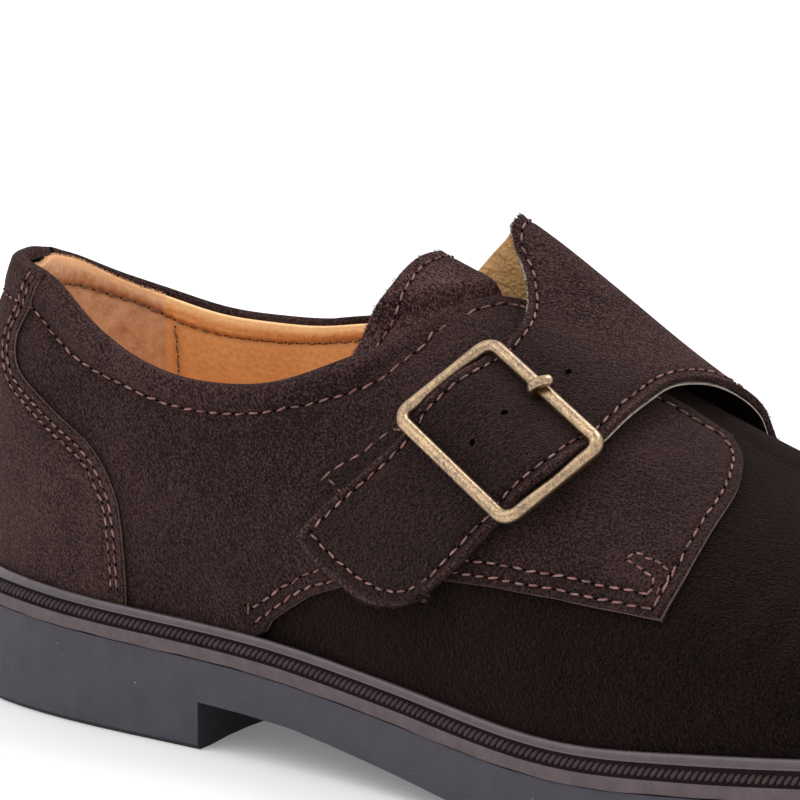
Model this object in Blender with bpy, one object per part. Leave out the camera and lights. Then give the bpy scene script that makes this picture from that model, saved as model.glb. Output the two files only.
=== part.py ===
"""A right-foot single monk-strap shoe, built in layers from one last surface.

Tables and sizes are in millimetres, measured from the back of the sole at x = 0.
Mesh vertices are written in metres, with +X to the toe, -Y to the outer side and +Z up.
The origin is the centre of the shoe's plan box, at the floor.
"""
import bpy
import bmesh
import numpy as np
from math import pi, cos, sin

MM = 0.001
GAP = 0.3              # clearance between pieces that touch
LENGTH = 300.0         # outsole, heel to toe
HEEL_HEIGHT = 9.5      # floor to the arch at the heel breast
HEEL_LENGTH = 81.0     # back of the sole to the corner of the heel breast
BREAST_HOLLOW = 6.5    # how far the heel breast bows back at its middle
FEATHER_INSET = 4.5    # sole edge to the foot of the upper
WELT_TOP = 6.6         # rubber to the top of the bead, at the waist
WELT_TOP_TOE = 7.4     # the same at the toe
SEAT_HEIGHT = 3.2      # rubber to the seat that upper and insole rest on
SEAT_INSET = 10.5      # inner edge of the welt
WALL = 1.6             # lining and vamp leather of the upper
SUEDE = 1.4            # quarters over the wall
COUNTER = 0.9          # heel counter over the quarters
STRAP = 2.0            # strap leather with its lining
TONGUE_RISE = 1.2      # tongue above the wall's level where the throat leaves it bare
TONGUE = 2.0
INSOLE = 2.5
THROAT_LIFT = 0.55     # the outer quarter stands a little clearer of the wall at the throat
THROAT = 0.446         # last coordinate u at which the opening closes over the instep
FLAT_FRONT = (166.0, 192.0)   # flat spot of the forefoot on the floor
RIM_POINTS = 80        # points in each loop round the sole

# Plan of the sole: centre line and breadth of the half width, by distance from the heel.
# half width = breadth * sin(angle along the outline)
PLAN = (  # x, centre, breadth
    (0, 0.0, 72.0), (20, 0.0, 57.3), (40, -0.2, 49.4), (75, -1.5, 40.9), (110, -4.2, 37.2),
    (140, -4.6, 40.8), (170, -2.8, 48.0), (200, -0.4, 54.6), (220, 0.2, 58.0),
    (240, 0.4, 60.7), (260, 1.3, 62.4), (280, 2.6, 66.0), (300, 4.0, 71.0))

# Height of the rubber's top edge, which the welt follows.
RUBBER_TOP = (  # x, z
    (0, 20.0), (20, 19.7), (40, 18.9), (60, 18.3), (82, 17.7), (100, 16.8), (120, 15.1),
    (135, 13.8), (150, 12.3), (165, 11.1), (180, 10.9), (195, 11.9), (210, 13.2),
    (225, 14.7), (250, 17.2), (275, 20.2), (300, 23.6))

ARCH = (  # x, z of the underside between the heel and the forefoot
    (92, 9.1), (106, 8.2), (120, 6.4), (135, 4.4), (147, 2.6), (157, 1.1), (166, 0.0))

TOE_SPRING = (  # x, z of the underside ahead of the forefoot
    (192, 0.0), (204, 0.6), (222, 2.5), (245, 5.4), (272, 8.8), (305, 13.6))

# Crest of the last, from above the heel to the toe box, with the fullness of each side.
# Over the heel it is only the point that the walls lean towards.
CREST = (  # x, y, z, fullness outer, fullness inner
    (30, 0.0, 130.0, 3.20, 3.20), (50, 0.5, 121.0, 2.50, 2.50), (75, 3.0, 108.5, 2.10, 2.20),
    (95, 6.0, 98.5, 2.00, 2.10), (112, 8.0, 90.5, 1.95, 2.10), (130, 9.0, 84.0, 1.95, 2.10),
    (150, 9.2, 75.4, 1.95, 1.95), (170, 8.6, 66.8, 2.00, 1.90), (190, 8.0, 59.0, 2.10, 1.90),
    (215, 7.8, 52.7, 2.20, 2.05), (240, 7.6, 49.3, 2.25, 2.25), (264, 7.0, 47.0, 2.30, 2.40))

# Top line of the collar, as degrees down from the crest.
TOP_LINE = (  # u, outer, inner
    (0.0, 63.9, 63.9), (0.05, 63.2, 64.8), (0.10, 61.2, 65.2), (0.15, 58.2, 64.3),
    (0.184, 55.8, 63.0), (0.22, 56.2, 61.3), (0.26, 57.0, 58.3), (0.30, 56.7, 54.0),
    (0.34, 53.6, 47.0), (0.375, 46.5, 39.0), (0.395, 38.9, 31.0), (0.413, 29.2, 23.0),
    (0.425, 18.0, 16.0), (0.437, 7.0, 7.0), (THROAT, 0.0, 0.0))

QUARTER_FOOT = (  # u, degrees down from the crest: lower edge of a quarter
    (0.0, 90.0), (0.372, 90.0), (0.389, 85.2), (0.406, 80.5), (0.426, 76.7), (0.455, 72.2),
    (0.480, 68.9), (0.505, 66.1), (0.538, 63.3), (0.571, 61.8), (0.610, 60.9))

QUARTER_HEAD_OUTER = (  # u, degrees: upper edge of the outer quarter
    (0.0, 63.9), (0.05, 63.2), (0.10, 61.2), (0.15, 58.2), (0.184, 55.8), (0.22, 56.2),
    (0.26, 57.0), (0.30, 56.7), (0.34, 53.6), (0.375, 46.5), (0.395, 38.9), (0.413, 29.2),
    (0.425, 17.5), (0.435, 7.5), (0.446, 4.2), (0.47, 4.2), (0.50, 5.6), (0.532, 6.0),
    (0.546, 4.9), (0.576, 5.2), (0.610, 5.2))

QUARTER_HEAD_INNER = (  # u, degrees: upper edge of the inner quarter, then the strap's root
    (0.0, 63.9), (0.05, 64.8), (0.10, 65.2), (0.15, 64.3), (0.184, 63.0), (0.22, 61.3),
    (0.26, 58.3), (0.30, 54.0), (0.335, 48.0), (0.40, 47.5), (0.50, 49.0), (0.610, 52.0))

QUARTER_FRONT = (  # height fraction, u outer, u inner: front edge of a quarter
    (0.0, 0.5905, 0.585), (0.175, 0.5954, 0.586), (0.324, 0.5978, 0.583), (0.483, 0.5992, 0.577),
    (0.717, 0.5986, 0.566), (0.79, 0.5963, 0.561), (0.88, 0.5914, 0.554), (0.952, 0.5845, 0.548),
    (1.0, 0.576, 0.543))

COUNTER_EDGE = (  # degrees down from the crest, u of the counter's front edge
    (90.0, 0.287), (80.8, 0.285), (76.4, 0.280), (73.4, 0.269), (71.7, 0.254), (71.1, 0.233),
    (70.6, 0.205), (70.0, 0.180), (67.6, 0.1695), (65.1, 0.172), (61.5, 0.183), (58.5, 0.188),
    (56.0, 0.201))

# The strap from its root on the inner quarter, over the instep and down the outer side.
# u is along the last, a is degrees from the crest (outer side negative), and d is the height
# of the strap's underside over the last. The bow bends a row towards the tip.
STRAP_ROWS = (  # rear u, rear a, rear d, front u, front a, front d, bow
    (0.362, 42.0, 2.0, 0.541, 41.5, 0.7, 0.0),
    (0.374, 36.0, 3.1, 0.5415, 34.5, 1.4, 0.0),
    (0.385, 30.0, 4.5, 0.546, 29.0, 2.5, 0.0),
    (0.393, 23.5, 6.0, 0.5485, 24.5, 2.8, 0.0),
    (0.400, 17.0, 7.5, 0.550, 18.5, 3.2, 0.0),
    (0.412, 6.5, 10.8, 0.5495, 11.0, 3.9, 0.0),
    (0.4193, 0.0, 12.8, 0.548, 3.5, 4.8, 0.0),
    (0.434, -2.7, 8.6, 0.5465, -3.9, 5.6, 0.0),
    (0.445, -5.6, 6.6, 0.5428, -7.9, 5.8, 0.0),
    (0.455, -9.8, 4.6, 0.5405, -12.3, 5.6, 0.0),
    (0.463, -16.5, 4.1, 0.540, -17.7, 5.5, 0.0),
    (0.466, -21.4, 3.8, 0.5374, -25.7, 5.1, 0.0),
    (0.469, -26.5, 3.6, 0.5323, -33.1, 4.3, 0.0),
    (0.465, -30.5, 4.5, 0.5284, -36.7, 5.2, 0.0),
    (0.461, -34.0, 6.0, 0.5234, -40.5, 6.7, 0.0),
    (0.458, -37.0, 6.5, 0.5194, -43.5, 7.1, 0.0),
    (0.456, -40.0, 6.0, 0.5166, -46.4, 6.5, 0.0),
    (0.452, -43.4, 4.5, 0.5118, -50.1, 4.9, 0.0),
    (0.448, -47.0, 3.3, 0.5079, -53.7, 3.6, 0.0),
    (0.441, -51.6, 3.2, 0.503, -58.0, 3.4, 0.0),
    (0.430, -57.8, 3.2, 0.497, -63.3, 3.3, 0.0),
    (0.416, -64.4, 3.2, 0.490, -68.4, 3.2, -1.2),
    (0.402, -71.2, 3.2, 0.481, -72.1, 3.2, -5.2))

# The buckle lies in a plane of its own: w across the strap, a along it towards the tip.
BUCKLE_CENTRE = np.array((145.46, -27.86, 68.54))
BUCKLE_W = np.array((0.8786, -0.2744, -0.3908))
BUCKLE_A = np.array((-0.4681, -0.6567, -0.5913))
BUCKLE_LONG = 38.6      # outer size across the strap
BUCKLE_SHORT = 24.4     # outer size along the strap
BUCKLE_WIRE = 2.6
BUCKLE_CORNER = 3.4
BAR_RADIUS = 0.9
BAR_DROP = 1.7          # centre bar below the frame's plane
LAST_DROP = 5.85        # last surface below the frame's plane at its centre
LAST_RADIUS = 48.0      # curve of the last under the buckle, along the strap
PRONG_W = -1.5
PRONG_WIDTH = 2.6
PRONG_THICK = 1.5
CHAPE = 0.7

# The chape: its end turns over the centre bar, and its tail lies on the outer quarter.
CHAPE_HALF = 12.5
CHAPE_LOOP = (  # a, d at mid thickness, from the turned end round the bar
    (7.0, 3.40), (3.6, 4.45), (1.3, 5.45), (0.0, 5.65), (-1.1, 5.20), (-1.55, 4.10),
    (-1.1, 3.00), (0.4, 2.40))
CHAPE_TAIL = (  # rear u, rear a, front u, front a
    (0.4600, -41.6, 0.5099, -47.4), (0.4513, -46.6, 0.5045, -53.0),
    (0.4342, -47.6, 0.4993, -55.6), (0.4229, -52.3, 0.4891, -60.7),
    (0.4121, -56.8, 0.4792, -65.9), (0.4008, -61.3, 0.4692, -71.1))


# ---------------------------------------------------------------- curves

def smooth_curve(xs, ys):
    """Natural cubic spline through a few points, as a function of x."""
    xs = np.asarray(xs, float)
    ys = np.asarray(ys, float)
    count = len(xs)
    step = np.diff(xs)
    system = np.eye(count)
    right = np.zeros(count)
    for i in range(1, count - 1):
        system[i, i - 1] = step[i - 1]
        system[i, i] = 2 * (step[i - 1] + step[i])
        system[i, i + 1] = step[i]
        right[i] = 6 * ((ys[i + 1] - ys[i]) / step[i] - (ys[i] - ys[i - 1]) / step[i - 1])
    bend = np.linalg.solve(system, right)

    def value(x):
        x = np.clip(np.asarray(x, float), xs[0], xs[-1])
        i = np.clip(np.searchsorted(xs, x) - 1, 0, count - 2)
        d = x - xs[i]
        h = step[i]
        slope = (ys[i + 1] - ys[i]) / h - h * (2 * bend[i] + bend[i + 1]) / 6
        return ys[i] + d * slope + d**2 * bend[i] / 2 + d**3 * (bend[i + 1] - bend[i]) / (6 * h)
    return value


def column(table, index):
    """Smooth curve of one column of a table over its first column."""
    return smooth_curve([row[0] for row in table], [row[index] for row in table])


def straight(table, index=1):
    """Straight-line interpolation of one column of a table, for edges with corners."""
    xs = [row[0] for row in table]
    ys = [row[index] for row in table]
    return lambda x: np.interp(x, xs, ys)


def ease(x, start, end):
    """0 before start, 1 after end, and a smooth step between."""
    t = np.clip((x - start) / (end - start), 0.0, 1.0)
    return t * t * (3 - 2 * t)


plan_centre = column(PLAN, 1)
plan_breadth = column(PLAN, 2)
rubber_top = column(RUBBER_TOP, 1)
crest_y = column(CREST, 1)
crest_z = column(CREST, 2)
full_outer = column(CREST, 3)
full_inner = column(CREST, 4)
top_outer = straight(TOP_LINE, 1)
top_inner = straight(TOP_LINE, 2)


def outline(phi, inset):
    """Plan of the sole at angle phi: heel 0, outer side, toe pi, inner side; moved inwards."""
    def edge(angle):
        x = LENGTH * (1 - np.cos(angle)) / 2
        return np.stack([x, plan_centre(x) - plan_breadth(x) * np.sin(angle)], -1)
    tiny = 1e-4
    along = edge(phi + tiny) - edge(phi - tiny)
    along /= np.linalg.norm(along, axis=-1, keepdims=True)
    inward = np.stack([-along[..., 1], along[..., 0]], -1)
    return edge(phi) + inward * np.asarray(inset)[..., None]


def welt_rise(x):
    """Height of the bead over the rubber."""
    return WELT_TOP + (WELT_TOP_TOE - WELT_TOP) * ease(x, 160.0, 215.0)


def last_point(u, a):
    """Point of the last: u from heel 0 to toe 1, a in degrees, -90 outer foot to 90 inner."""
    u, a = np.broadcast_arrays(np.asarray(u, float), np.asarray(a, float))
    inner = a > 0
    phi = pi * u
    foot = outline(np.where(inner, 2 * pi - phi, phi), np.full(u.shape, FEATHER_INSET))
    foot_z = rubber_top(foot[..., 0]) + welt_rise(foot[..., 0])
    x = CREST[0][0] + (CREST[-1][0] - CREST[0][0]) * (1 - np.cos(phi)) / 2
    crest = np.stack([x, crest_y(x)], -1)
    power = 2 / np.where(inner, full_inner(x), full_outer(x))
    lean = np.radians(np.clip(np.abs(a), 0, 90))
    plan = crest + (foot - crest) * (np.sin(lean) ** power)[..., None]
    z = foot_z + (crest_z(x) - foot_z) * np.clip(np.cos(lean), 0, 1) ** power
    return np.concatenate([plan, z[..., None]], -1)


def last_normal(u, a):
    """Outward direction of the last."""
    u, a = np.broadcast_arrays(np.asarray(u, float), np.asarray(a, float))

    def one_side(side_u, side_a):
        v = np.clip(side_u, 0.004, 0.996)
        b = np.clip(side_a, -89.7, 89.7)
        along = last_point(v + 0.001, b) - last_point(v - 0.001, b)
        across = last_point(v, b + 0.06) - last_point(v, b - 0.06)
        normal = np.cross(along, across)
        return normal / np.linalg.norm(normal, axis=-1, keepdims=True)
    normal = one_side(u, a)
    at_end = ((u < 0.004) | (u > 0.996))[..., None]
    both = normal + one_side(u, -a)
    both /= np.linalg.norm(both, axis=-1, keepdims=True)
    return np.where(at_end, both, normal)


def on_last(u, a, d):
    """Point at height d over the last."""
    return last_point(u, a) + last_normal(u, a) * np.asarray(d, float)[..., None]


def wall_face(u, a):
    """Outer face of the upper's wall: it lies deeper where quarters and counter cover it."""
    tuck = 2.9 - 1.2 * ease(u, 0.30, 0.36) - 1.7 * ease(u, 0.365, 0.45)
    share = 0.8 - 0.5 * (1 - ease(u, 0.04, 0.17))
    return tuck * (share * ease(90 - np.abs(a), 0.0, 18.0) - 1)


# ---------------------------------------------------------------- meshes

def material(name, colour, roughness, metallic=0.0):
    finish = bpy.data.materials.new(name)
    finish.use_nodes = True
    shader = finish.node_tree.nodes["Principled BSDF"]
    shader.inputs["Base Color"].default_value = (*colour, 1.0)
    shader.inputs["Roughness"].default_value = roughness
    shader.inputs["Metallic"].default_value = metallic
    finish.diffuse_color = (*colour, 1.0)
    return finish


def plan_middle():
    """Middle of the sole's plan box, which becomes the origin."""
    edge = sole_loop(0.0, 0.0)[:, :2]
    return (edge.min(0) + edge.max(0)) / 2


def add_piece(name, points, faces, finish):
    """One closed object from points in millimetres, with its faces turned outwards."""
    middle = plan_middle()
    moved = np.asarray(points, float) - np.array((middle[0], middle[1], 0.0))
    mesh = bpy.data.meshes.new(name)
    mesh.from_pydata((moved * MM).tolist(), [], faces)
    shape = bmesh.new()
    shape.from_mesh(mesh)
    bmesh.ops.recalc_face_normals(shape, faces=shape.faces)
    shape.to_mesh(mesh)
    shape.free()
    mesh.materials.append(finish)
    piece = bpy.data.objects.new(name, mesh)
    bpy.context.collection.objects.link(piece)
    mesh.shade_smooth()
    mesh.set_sharp_from_angle(angle=np.radians(40))
    return piece


def shell(name, inner, outer, faces, finish):
    """Closed sheet between two copies of one patch of faces, with walls along its open edges."""
    count = len(inner)
    used = {}
    for face in faces:
        for start, end in zip(face, face[1:] + face[:1]):
            used[(start, end)] = True
    walls = []
    for start, end in used:
        if (end, start) not in used:
            walls.append((start, end, end + count, start + count))
    backs = [tuple(i for i in reversed(face)) for face in faces]
    fronts = [tuple(i + count for i in face) for face in faces]
    return add_piece(name, np.concatenate([inner, outer]), backs + fronts + walls, finish)


def grid_faces(rows, columns):
    """Faces of a grid whose points are stored row by row."""
    faces = []
    for i in range(rows - 1):
        for j in range(columns - 1):
            first = i * columns + j
            faces.append((first, first + 1, first + columns + 1, first + columns))
    return faces


def ladder(first, count):
    """Faces across a closed loop that starts at the heel, from outer side to inner side."""
    half = count // 2
    faces = [(first, first + 1, first + count - 1)]
    for i in range(1, half - 1):
        faces.append((first + i, first + i + 1, first + count - i - 1, first + count - i))
    faces.append((first + half - 1, first + half, first + half + 1))
    return faces


def ring_faces(loops, count, closed):
    """Faces between loops of the same count of points; a closed ring joins the last to the first."""
    faces = []
    for k in range(loops if closed else loops - 1):
        low = k * count
        high = ((k + 1) % loops) * count
        for j in range(count):
            after = (j + 1) % count
            faces.append((low + j, low + after, high + after, high + j))
    return faces


def sole_loop(inset, rise, base=rubber_top):
    """Loop of points along the sole's outline, at a height over the rubber's top edge."""
    phi = np.arange(RIM_POINTS) * 2 * pi / RIM_POINTS
    plan = outline(phi, np.full(RIM_POINTS, float(inset)))
    return np.column_stack([plan, base(plan[:, 0]) + rise])


# ---------------------------------------------------------------- sole

def prism(name, stations, sections):
    """Cutter between flat sections, one at each y; the sections have the same count of points."""
    corners = len(sections[0])
    points = []
    for y, section in zip(stations, sections):
        points.extend((x, y, z) for x, z in section)
    faces = [tuple(range(corners)), tuple(range(len(points) - corners, len(points)))]
    for s in range(len(stations) - 1):
        for j in range(corners):
            after = (j + 1) % corners
            low = s * corners
            faces.append((low + j, low + after, low + corners + after, low + corners + j))
    cutter = add_piece(name, points, faces, material(name, (0.5, 0.5, 0.5), 0.5))
    cutter.hide_render = True
    cutter.display_type = 'WIRE'
    return cutter


def boolean(piece, tool, operation):
    change = piece.modifiers.new(tool.name, 'BOOLEAN')
    change.operation = operation
    change.solver = 'EXACT'
    change.object = tool


def arch_cutter():
    stations = np.linspace(-72, 72, 19)
    sections = []
    for y in stations:
        depth = BREAST_HOLLOW * max(0.0, 1 - (y / 36.0) ** 2)
        breast = HEEL_LENGTH - depth
        sections.append([(breast, -4.0), (breast, HEEL_HEIGHT), *ARCH, (FLAT_FRONT[0] + 2, -4.0)])
    return prism("arch_cutter", stations, sections)


def toe_cutter():
    section = [(FLAT_FRONT[1] - 2, -4.0), *TOE_SPRING, (310.0, -4.0)]
    return prism("toe_cutter", (-80.0, 80.0), [section, section])


def make_outsole():
    """Rubber unit with its heel: a full block, cut under the arch and the toe."""
    loops = [
        sole_loop(SEAT_INSET + GAP, SEAT_HEIGHT),
        sole_loop(SEAT_INSET + GAP, 0.0),
        sole_loop(0.3, 0.0),
        sole_loop(0.3, 1.0, base=np.zeros_like),
        sole_loop(1.2, 0.0, base=np.zeros_like)]
    faces = ring_faces(len(loops), RIM_POINTS, closed=False)
    faces += ladder(0, RIM_POINTS) + ladder((len(loops) - 1) * RIM_POINTS, RIM_POINTS)
    sole = add_piece("outsole", np.concatenate(loops), faces, material("rubber", (0.035, 0.036, 0.05), 0.75))
    boolean(sole, arch_cutter(), 'DIFFERENCE')
    boolean(sole, toe_cutter(), 'DIFFERENCE')
    return sole


def make_welt():
    """Storm welt: a plain side, a ribbed shoulder, a groove and a raised bead round the upper."""
    profile = (  # inset from the sole's edge, height over the rubber, share of the toe's extra rise
        (0.0, GAP, 0), (0.0, 2.9, 0), (0.6, 4.3, 0), (1.7, 5.3, 0.5), (2.2, 4.9, 0.6),
        (2.5, 5.8, 1), (3.3, WELT_TOP, 1), (4.1, 6.0, 1), (FEATHER_INSET - GAP, SEAT_HEIGHT, 0),
        (SEAT_INSET, SEAT_HEIGHT, 0), (SEAT_INSET, GAP, 0))
    loops = []
    for inset, height, share in profile:
        loop = sole_loop(inset, height)
        loop[:, 2] += share * (welt_rise(loop[:, 0]) - WELT_TOP)
        loops.append(loop)
    faces = ring_faces(len(loops), RIM_POINTS, closed=True)
    return add_piece("welt", np.concatenate(loops), faces, material("welt_rubber", (0.07, 0.045, 0.04), 0.5))


def make_insole():
    phi = np.arange(RIM_POINTS) * 2 * pi / RIM_POINTS
    u = np.where(phi <= pi, phi, 2 * pi - phi) / pi
    side = np.where(phi <= pi, -90.0, 90.0)
    plan = outline(phi, FEATHER_INSET - wall_face(u, side) + WALL + 2 * GAP)
    low = rubber_top(plan[:, 0]) + SEAT_HEIGHT + GAP
    points = np.concatenate([np.column_stack([plan, low]), np.column_stack([plan, low + INSOLE])])
    faces = ring_faces(2, RIM_POINTS, closed=False) + ladder(0, RIM_POINTS) + ladder(RIM_POINTS, RIM_POINTS)
    return add_piece("insole", points, faces, material("insole_leather", (0.55, 0.33, 0.17), 0.6))


# ---------------------------------------------------------------- upper

def make_upper():
    """The lined wall of vamp and quarters: open at the collar, the throat and underneath."""
    columns = np.concatenate([
        np.linspace(0, 0.375, 13), np.linspace(0.375, THROAT, 8)[1:], np.linspace(THROAT, 1, 20)[1:]])
    last = len(columns) - 1
    around = [(u, -1) for u in columns] + [(u, 1) for u in columns[last - 1:0:-1]]
    shares = (0.0, 0.05, 0.13, 0.24, 0.37, 0.51, 0.65, 0.79, 0.91, 1.0)
    number = {}
    inner = []
    outer = []

    def vertex(j, row):
        """Row 0 is the foot below the bead, and the last row is the top line or the crest."""
        u, side = around[j]
        on_crest = row == len(shares) and u >= THROAT
        key = ("crest", round(u, 6)) if on_crest else (j, row)
        if key in number:
            return number[key]
        top = top_outer(u) if side < 0 else top_inner(u)
        share = 0.0 if row == 0 else shares[row - 1]
        a = 0.0 if on_crest else side * (90 - (90 - top) * share)
        face = float(wall_face(u, a))
        for points, d in ((inner, face - WALL), (outer, face)):
            point = on_last(u, a, d)
            if row == 0:
                point[2] = rubber_top(point[0]) + SEAT_HEIGHT + GAP
            points.append(point)
        number[key] = len(inner) - 1
        return number[key]
    faces = []
    for j in range(len(around)):
        after = (j + 1) % len(around)
        for row in range(len(shares)):
            corners = (vertex(j, row), vertex(after, row), vertex(after, row + 1), vertex(j, row + 1))
            faces.append(tuple(dict.fromkeys(corners)))
    faces = [face for face in faces if len(face) > 2]
    return shell("upper", np.array(inner), np.array(outer), faces,
                 material("vamp_suede", (0.045, 0.025, 0.022), 0.9))


def quarter_grid(side, head, front_index, shares, rows):
    """Coordinates of a quarter's patch: shares run from heel to front, rows from foot to head."""
    foot = straight(QUARTER_FOOT)
    head = straight(head)
    front = column(QUARTER_FRONT, front_index)
    grid_u = np.array([[share * front(row) for share in shares] for row in rows])
    height = np.array(rows)[:, None]
    grid_a = side * (foot(grid_u) * (1 - height) + head(grid_u) * height)
    return grid_u, grid_a


def tucked(points, grid_a):
    """The foot of a piece that ends at the welt goes a little below the bead."""
    points[np.abs(grid_a) > 89.9, 2] -= 1.2
    return points


def make_quarter_outer():
    rows = (0.0, 0.06, 0.15, 0.28, 0.42, 0.56, 0.70, 0.80, 0.88, 0.95, 1.0)
    shares = np.concatenate([
        np.linspace(0.004, 0.60, 13), np.linspace(0.60, 0.77, 9)[1:], np.linspace(0.77, 1, 9)[1:]])
    u, a = quarter_grid(-1, QUARTER_HEAD_OUTER, 1, shares, rows)
    u = u.ravel()
    a = a.ravel()
    lift = THROAT_LIFT * ease(u, 0.36, 0.40) * (1 - ease(u, 0.46, 0.50)) * (1 - ease(-a, 18, 34))
    face = wall_face(u, a) + GAP + lift
    inner = tucked(on_last(u, a, face), a)
    outer = tucked(on_last(u, a, face + SUEDE), a)
    return shell("quarter_outer", inner, outer, grid_faces(len(rows), len(shares)),
                 material("quarter_suede", (0.07, 0.042, 0.036), 0.9))


def make_quarter_inner():
    """Inner quarter, which runs on as the strap over the instep to its tip on the outer side."""
    rows = (0.0, 0.08, 0.2, 0.36, 0.52, 0.68, 0.84, 1.0)
    root = 0.335 / 0.543
    body = np.linspace(0.004, root, 15)
    across = np.linspace(root, 1, 9)
    shares = np.concatenate([body, across[1:]])
    u, a = quarter_grid(1, QUARTER_HEAD_INNER, 2, shares, rows)
    u = u.ravel()
    a = a.ravel()
    d = wall_face(u, a) + GAP
    faces = grid_faces(len(rows), len(shares))
    body_count = len(u)
    previous = [(len(rows) - 1) * len(shares) + len(body) - 1 + k for k in range(len(across))]
    w = (across - root) / (1 - root)
    for rear_u, rear_a, rear_d, front_u, front_a, front_d, bow in STRAP_ROWS:
        first = len(u)
        u = np.concatenate([u, rear_u + (front_u - rear_u) * w])
        a = np.concatenate([a, rear_a + (front_a - rear_a) * w + bow * np.sin(pi * w) ** 0.8])
        d = np.concatenate([d, rear_d + (front_d - rear_d) * w])
        row = [first + k for k in range(len(across))]
        for k in range(len(across) - 1):
            faces.append((previous[k], previous[k + 1], row[k + 1], row[k]))
        previous = row
    inner = tucked(on_last(u, a, d), a)
    outer = tucked(on_last(u, a, d + SUEDE), a)
    outer[body_count:] = inner[body_count:] + sheet_normals(inner, faces)[body_count:] * STRAP
    return shell("quarter_inner_strap", inner, outer, faces,
                 material("strap_suede", (0.075, 0.045, 0.038), 0.9))


def sheet_normals(points, faces):
    """Outward direction at each point of an open patch, away from the last's middle line."""
    normals = np.zeros_like(points)
    for face in faces:
        corners = points[list(face)]
        normal = np.cross(corners[2] - corners[0], corners[3] - corners[1])
        normals[list(face)] += normal
    normals /= np.linalg.norm(normals, axis=1, keepdims=True)
    middle = np.column_stack([points[:, 0], np.zeros(len(points)), np.full(len(points), 20.0)])
    flip = np.sum((points - middle) * normals, axis=1).sum() < 0
    return -normals if flip else normals


def make_counter():
    """Heel counter over both quarters, with a finger up the back to the top line."""
    across = np.linspace(-1, 1, 19)
    u = []
    a = []
    for angle, edge in COUNTER_EDGE:
        for share in across:
            here = abs(share) * edge
            top = top_outer(here) if share <= 0 else top_inner(here)
            u.append(here)
            a.append((1 if share > 0 else -1) * max(angle, float(top)))
    u = np.array(u)
    a = np.array(a)
    face = wall_face(u, a) + 2.4 * GAP + SUEDE
    inner = tucked(on_last(u, a, face), a)
    outer = tucked(on_last(u, a, face + COUNTER), a)
    return shell("counter", inner, outer, grid_faces(len(COUNTER_EDGE), len(across)),
                 material("counter_suede", (0.06, 0.036, 0.03), 0.9))


def make_tongue():
    """Tongue: under the wall at its sides, and level with it where the throat leaves it bare."""
    us = np.concatenate([np.linspace(0.390, 0.45, 8), (0.475, 0.50)])
    angles = np.linspace(-48, 48, 21)
    u, a = [grid.ravel() for grid in np.meshgrid(us, angles, indexing='ij')]
    ahead = u + 0.013
    edge = np.where(a < 0, top_outer(ahead), top_inner(ahead))
    bare = ease(edge - np.abs(a), 1.0, 12.0)
    face = wall_face(u, a) - 2 * GAP - WALL * (1 - bare) + TONGUE_RISE * bare
    outer = on_last(u, a, face)
    inner = on_last(u, a, face - TONGUE)
    return shell("tongue", inner, outer, grid_faces(len(us), len(angles)),
                 material("tongue_suede", (0.05, 0.03, 0.026), 0.9))


# ---------------------------------------------------------------- buckle

BUCKLE_OUT = np.cross(BUCKLE_A, BUCKLE_W)


def in_buckle(a, w, h):
    """Point in the buckle's plane: a along the strap, w across it, h out from it."""
    return BUCKLE_CENTRE + BUCKLE_A * a + BUCKLE_W * w + BUCKLE_OUT * h


def tube(path, radius, sides, closed):
    """Points and faces of a round bar along a path in the buckle's plane."""
    path = np.asarray(path, float)
    count = len(path)
    points = []
    for i in range(count):
        before = path[i - 1] if closed or i > 0 else path[i]
        after = path[(i + 1) % count] if closed or i < count - 1 else path[i]
        along = (after - before) / np.linalg.norm(after - before)
        side = np.cross(along, BUCKLE_OUT)
        for k in range(sides):
            turn = 2 * pi * k / sides
            points.append(path[i] + radius * (side * cos(turn) + BUCKLE_OUT * sin(turn)))
    faces = ring_faces(count, sides, closed)
    if not closed:
        faces += [tuple(range(sides)), tuple(range(len(points) - sides, len(points)))]
    return points, faces


def make_buckle_frame():
    """Round-wire rectangle with a centre bar set low between its short sides."""
    half_w = (BUCKLE_LONG - BUCKLE_WIRE) / 2
    half_a = (BUCKLE_SHORT - BUCKLE_WIRE) / 2
    path = []
    for corner, (sign_a, sign_w) in enumerate(((1, 1), (-1, 1), (-1, -1), (1, -1))):
        for step in range(5):
            turn = (corner + step / 4) * pi / 2
            a = sign_a * (half_a - BUCKLE_CORNER) + BUCKLE_CORNER * cos(turn)
            w = sign_w * (half_w - BUCKLE_CORNER) + BUCKLE_CORNER * sin(turn)
            path.append(in_buckle(a, w, 0.0))
    brass = material("antique_brass", (0.42, 0.30, 0.15), 0.4, 1.0)
    frame = add_piece("buckle_frame", *tube(path, BUCKLE_WIRE / 2, 10, True), brass)
    ends = [in_buckle(0.0, sign * half_w, -BAR_DROP) for sign in (-1, 1)]
    bar = add_piece("centre_bar", *tube(ends, BAR_RADIUS, 10, False), brass)
    bar.hide_render = True
    bar.display_type = 'WIRE'
    boolean(frame, bar, 'UNION')
    return frame


def box_cutter(name, a_range, w_range, h_range):
    points = [in_buckle(a, w, h) for a in a_range for w in w_range for h in h_range]
    faces = [(0, 1, 3, 2), (4, 6, 7, 5), (0, 4, 5, 1), (2, 3, 7, 6), (0, 2, 6, 4), (1, 5, 7, 3)]
    cutter = add_piece(name, points, faces, material(name, (0.5, 0.5, 0.5), 0.5))
    cutter.hide_render = True
    cutter.display_type = 'WIRE'
    return cutter


def strip_outline(path, thickness):
    """Closed outline of a bent strip: one face forwards, then the other face back."""
    path = np.asarray(path, float)
    along = np.gradient(path, axis=0)
    along /= np.linalg.norm(along, axis=1, keepdims=True)
    side = np.column_stack([-along[:, 1], along[:, 0]]) * thickness / 2
    return path + side, path - side


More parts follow.
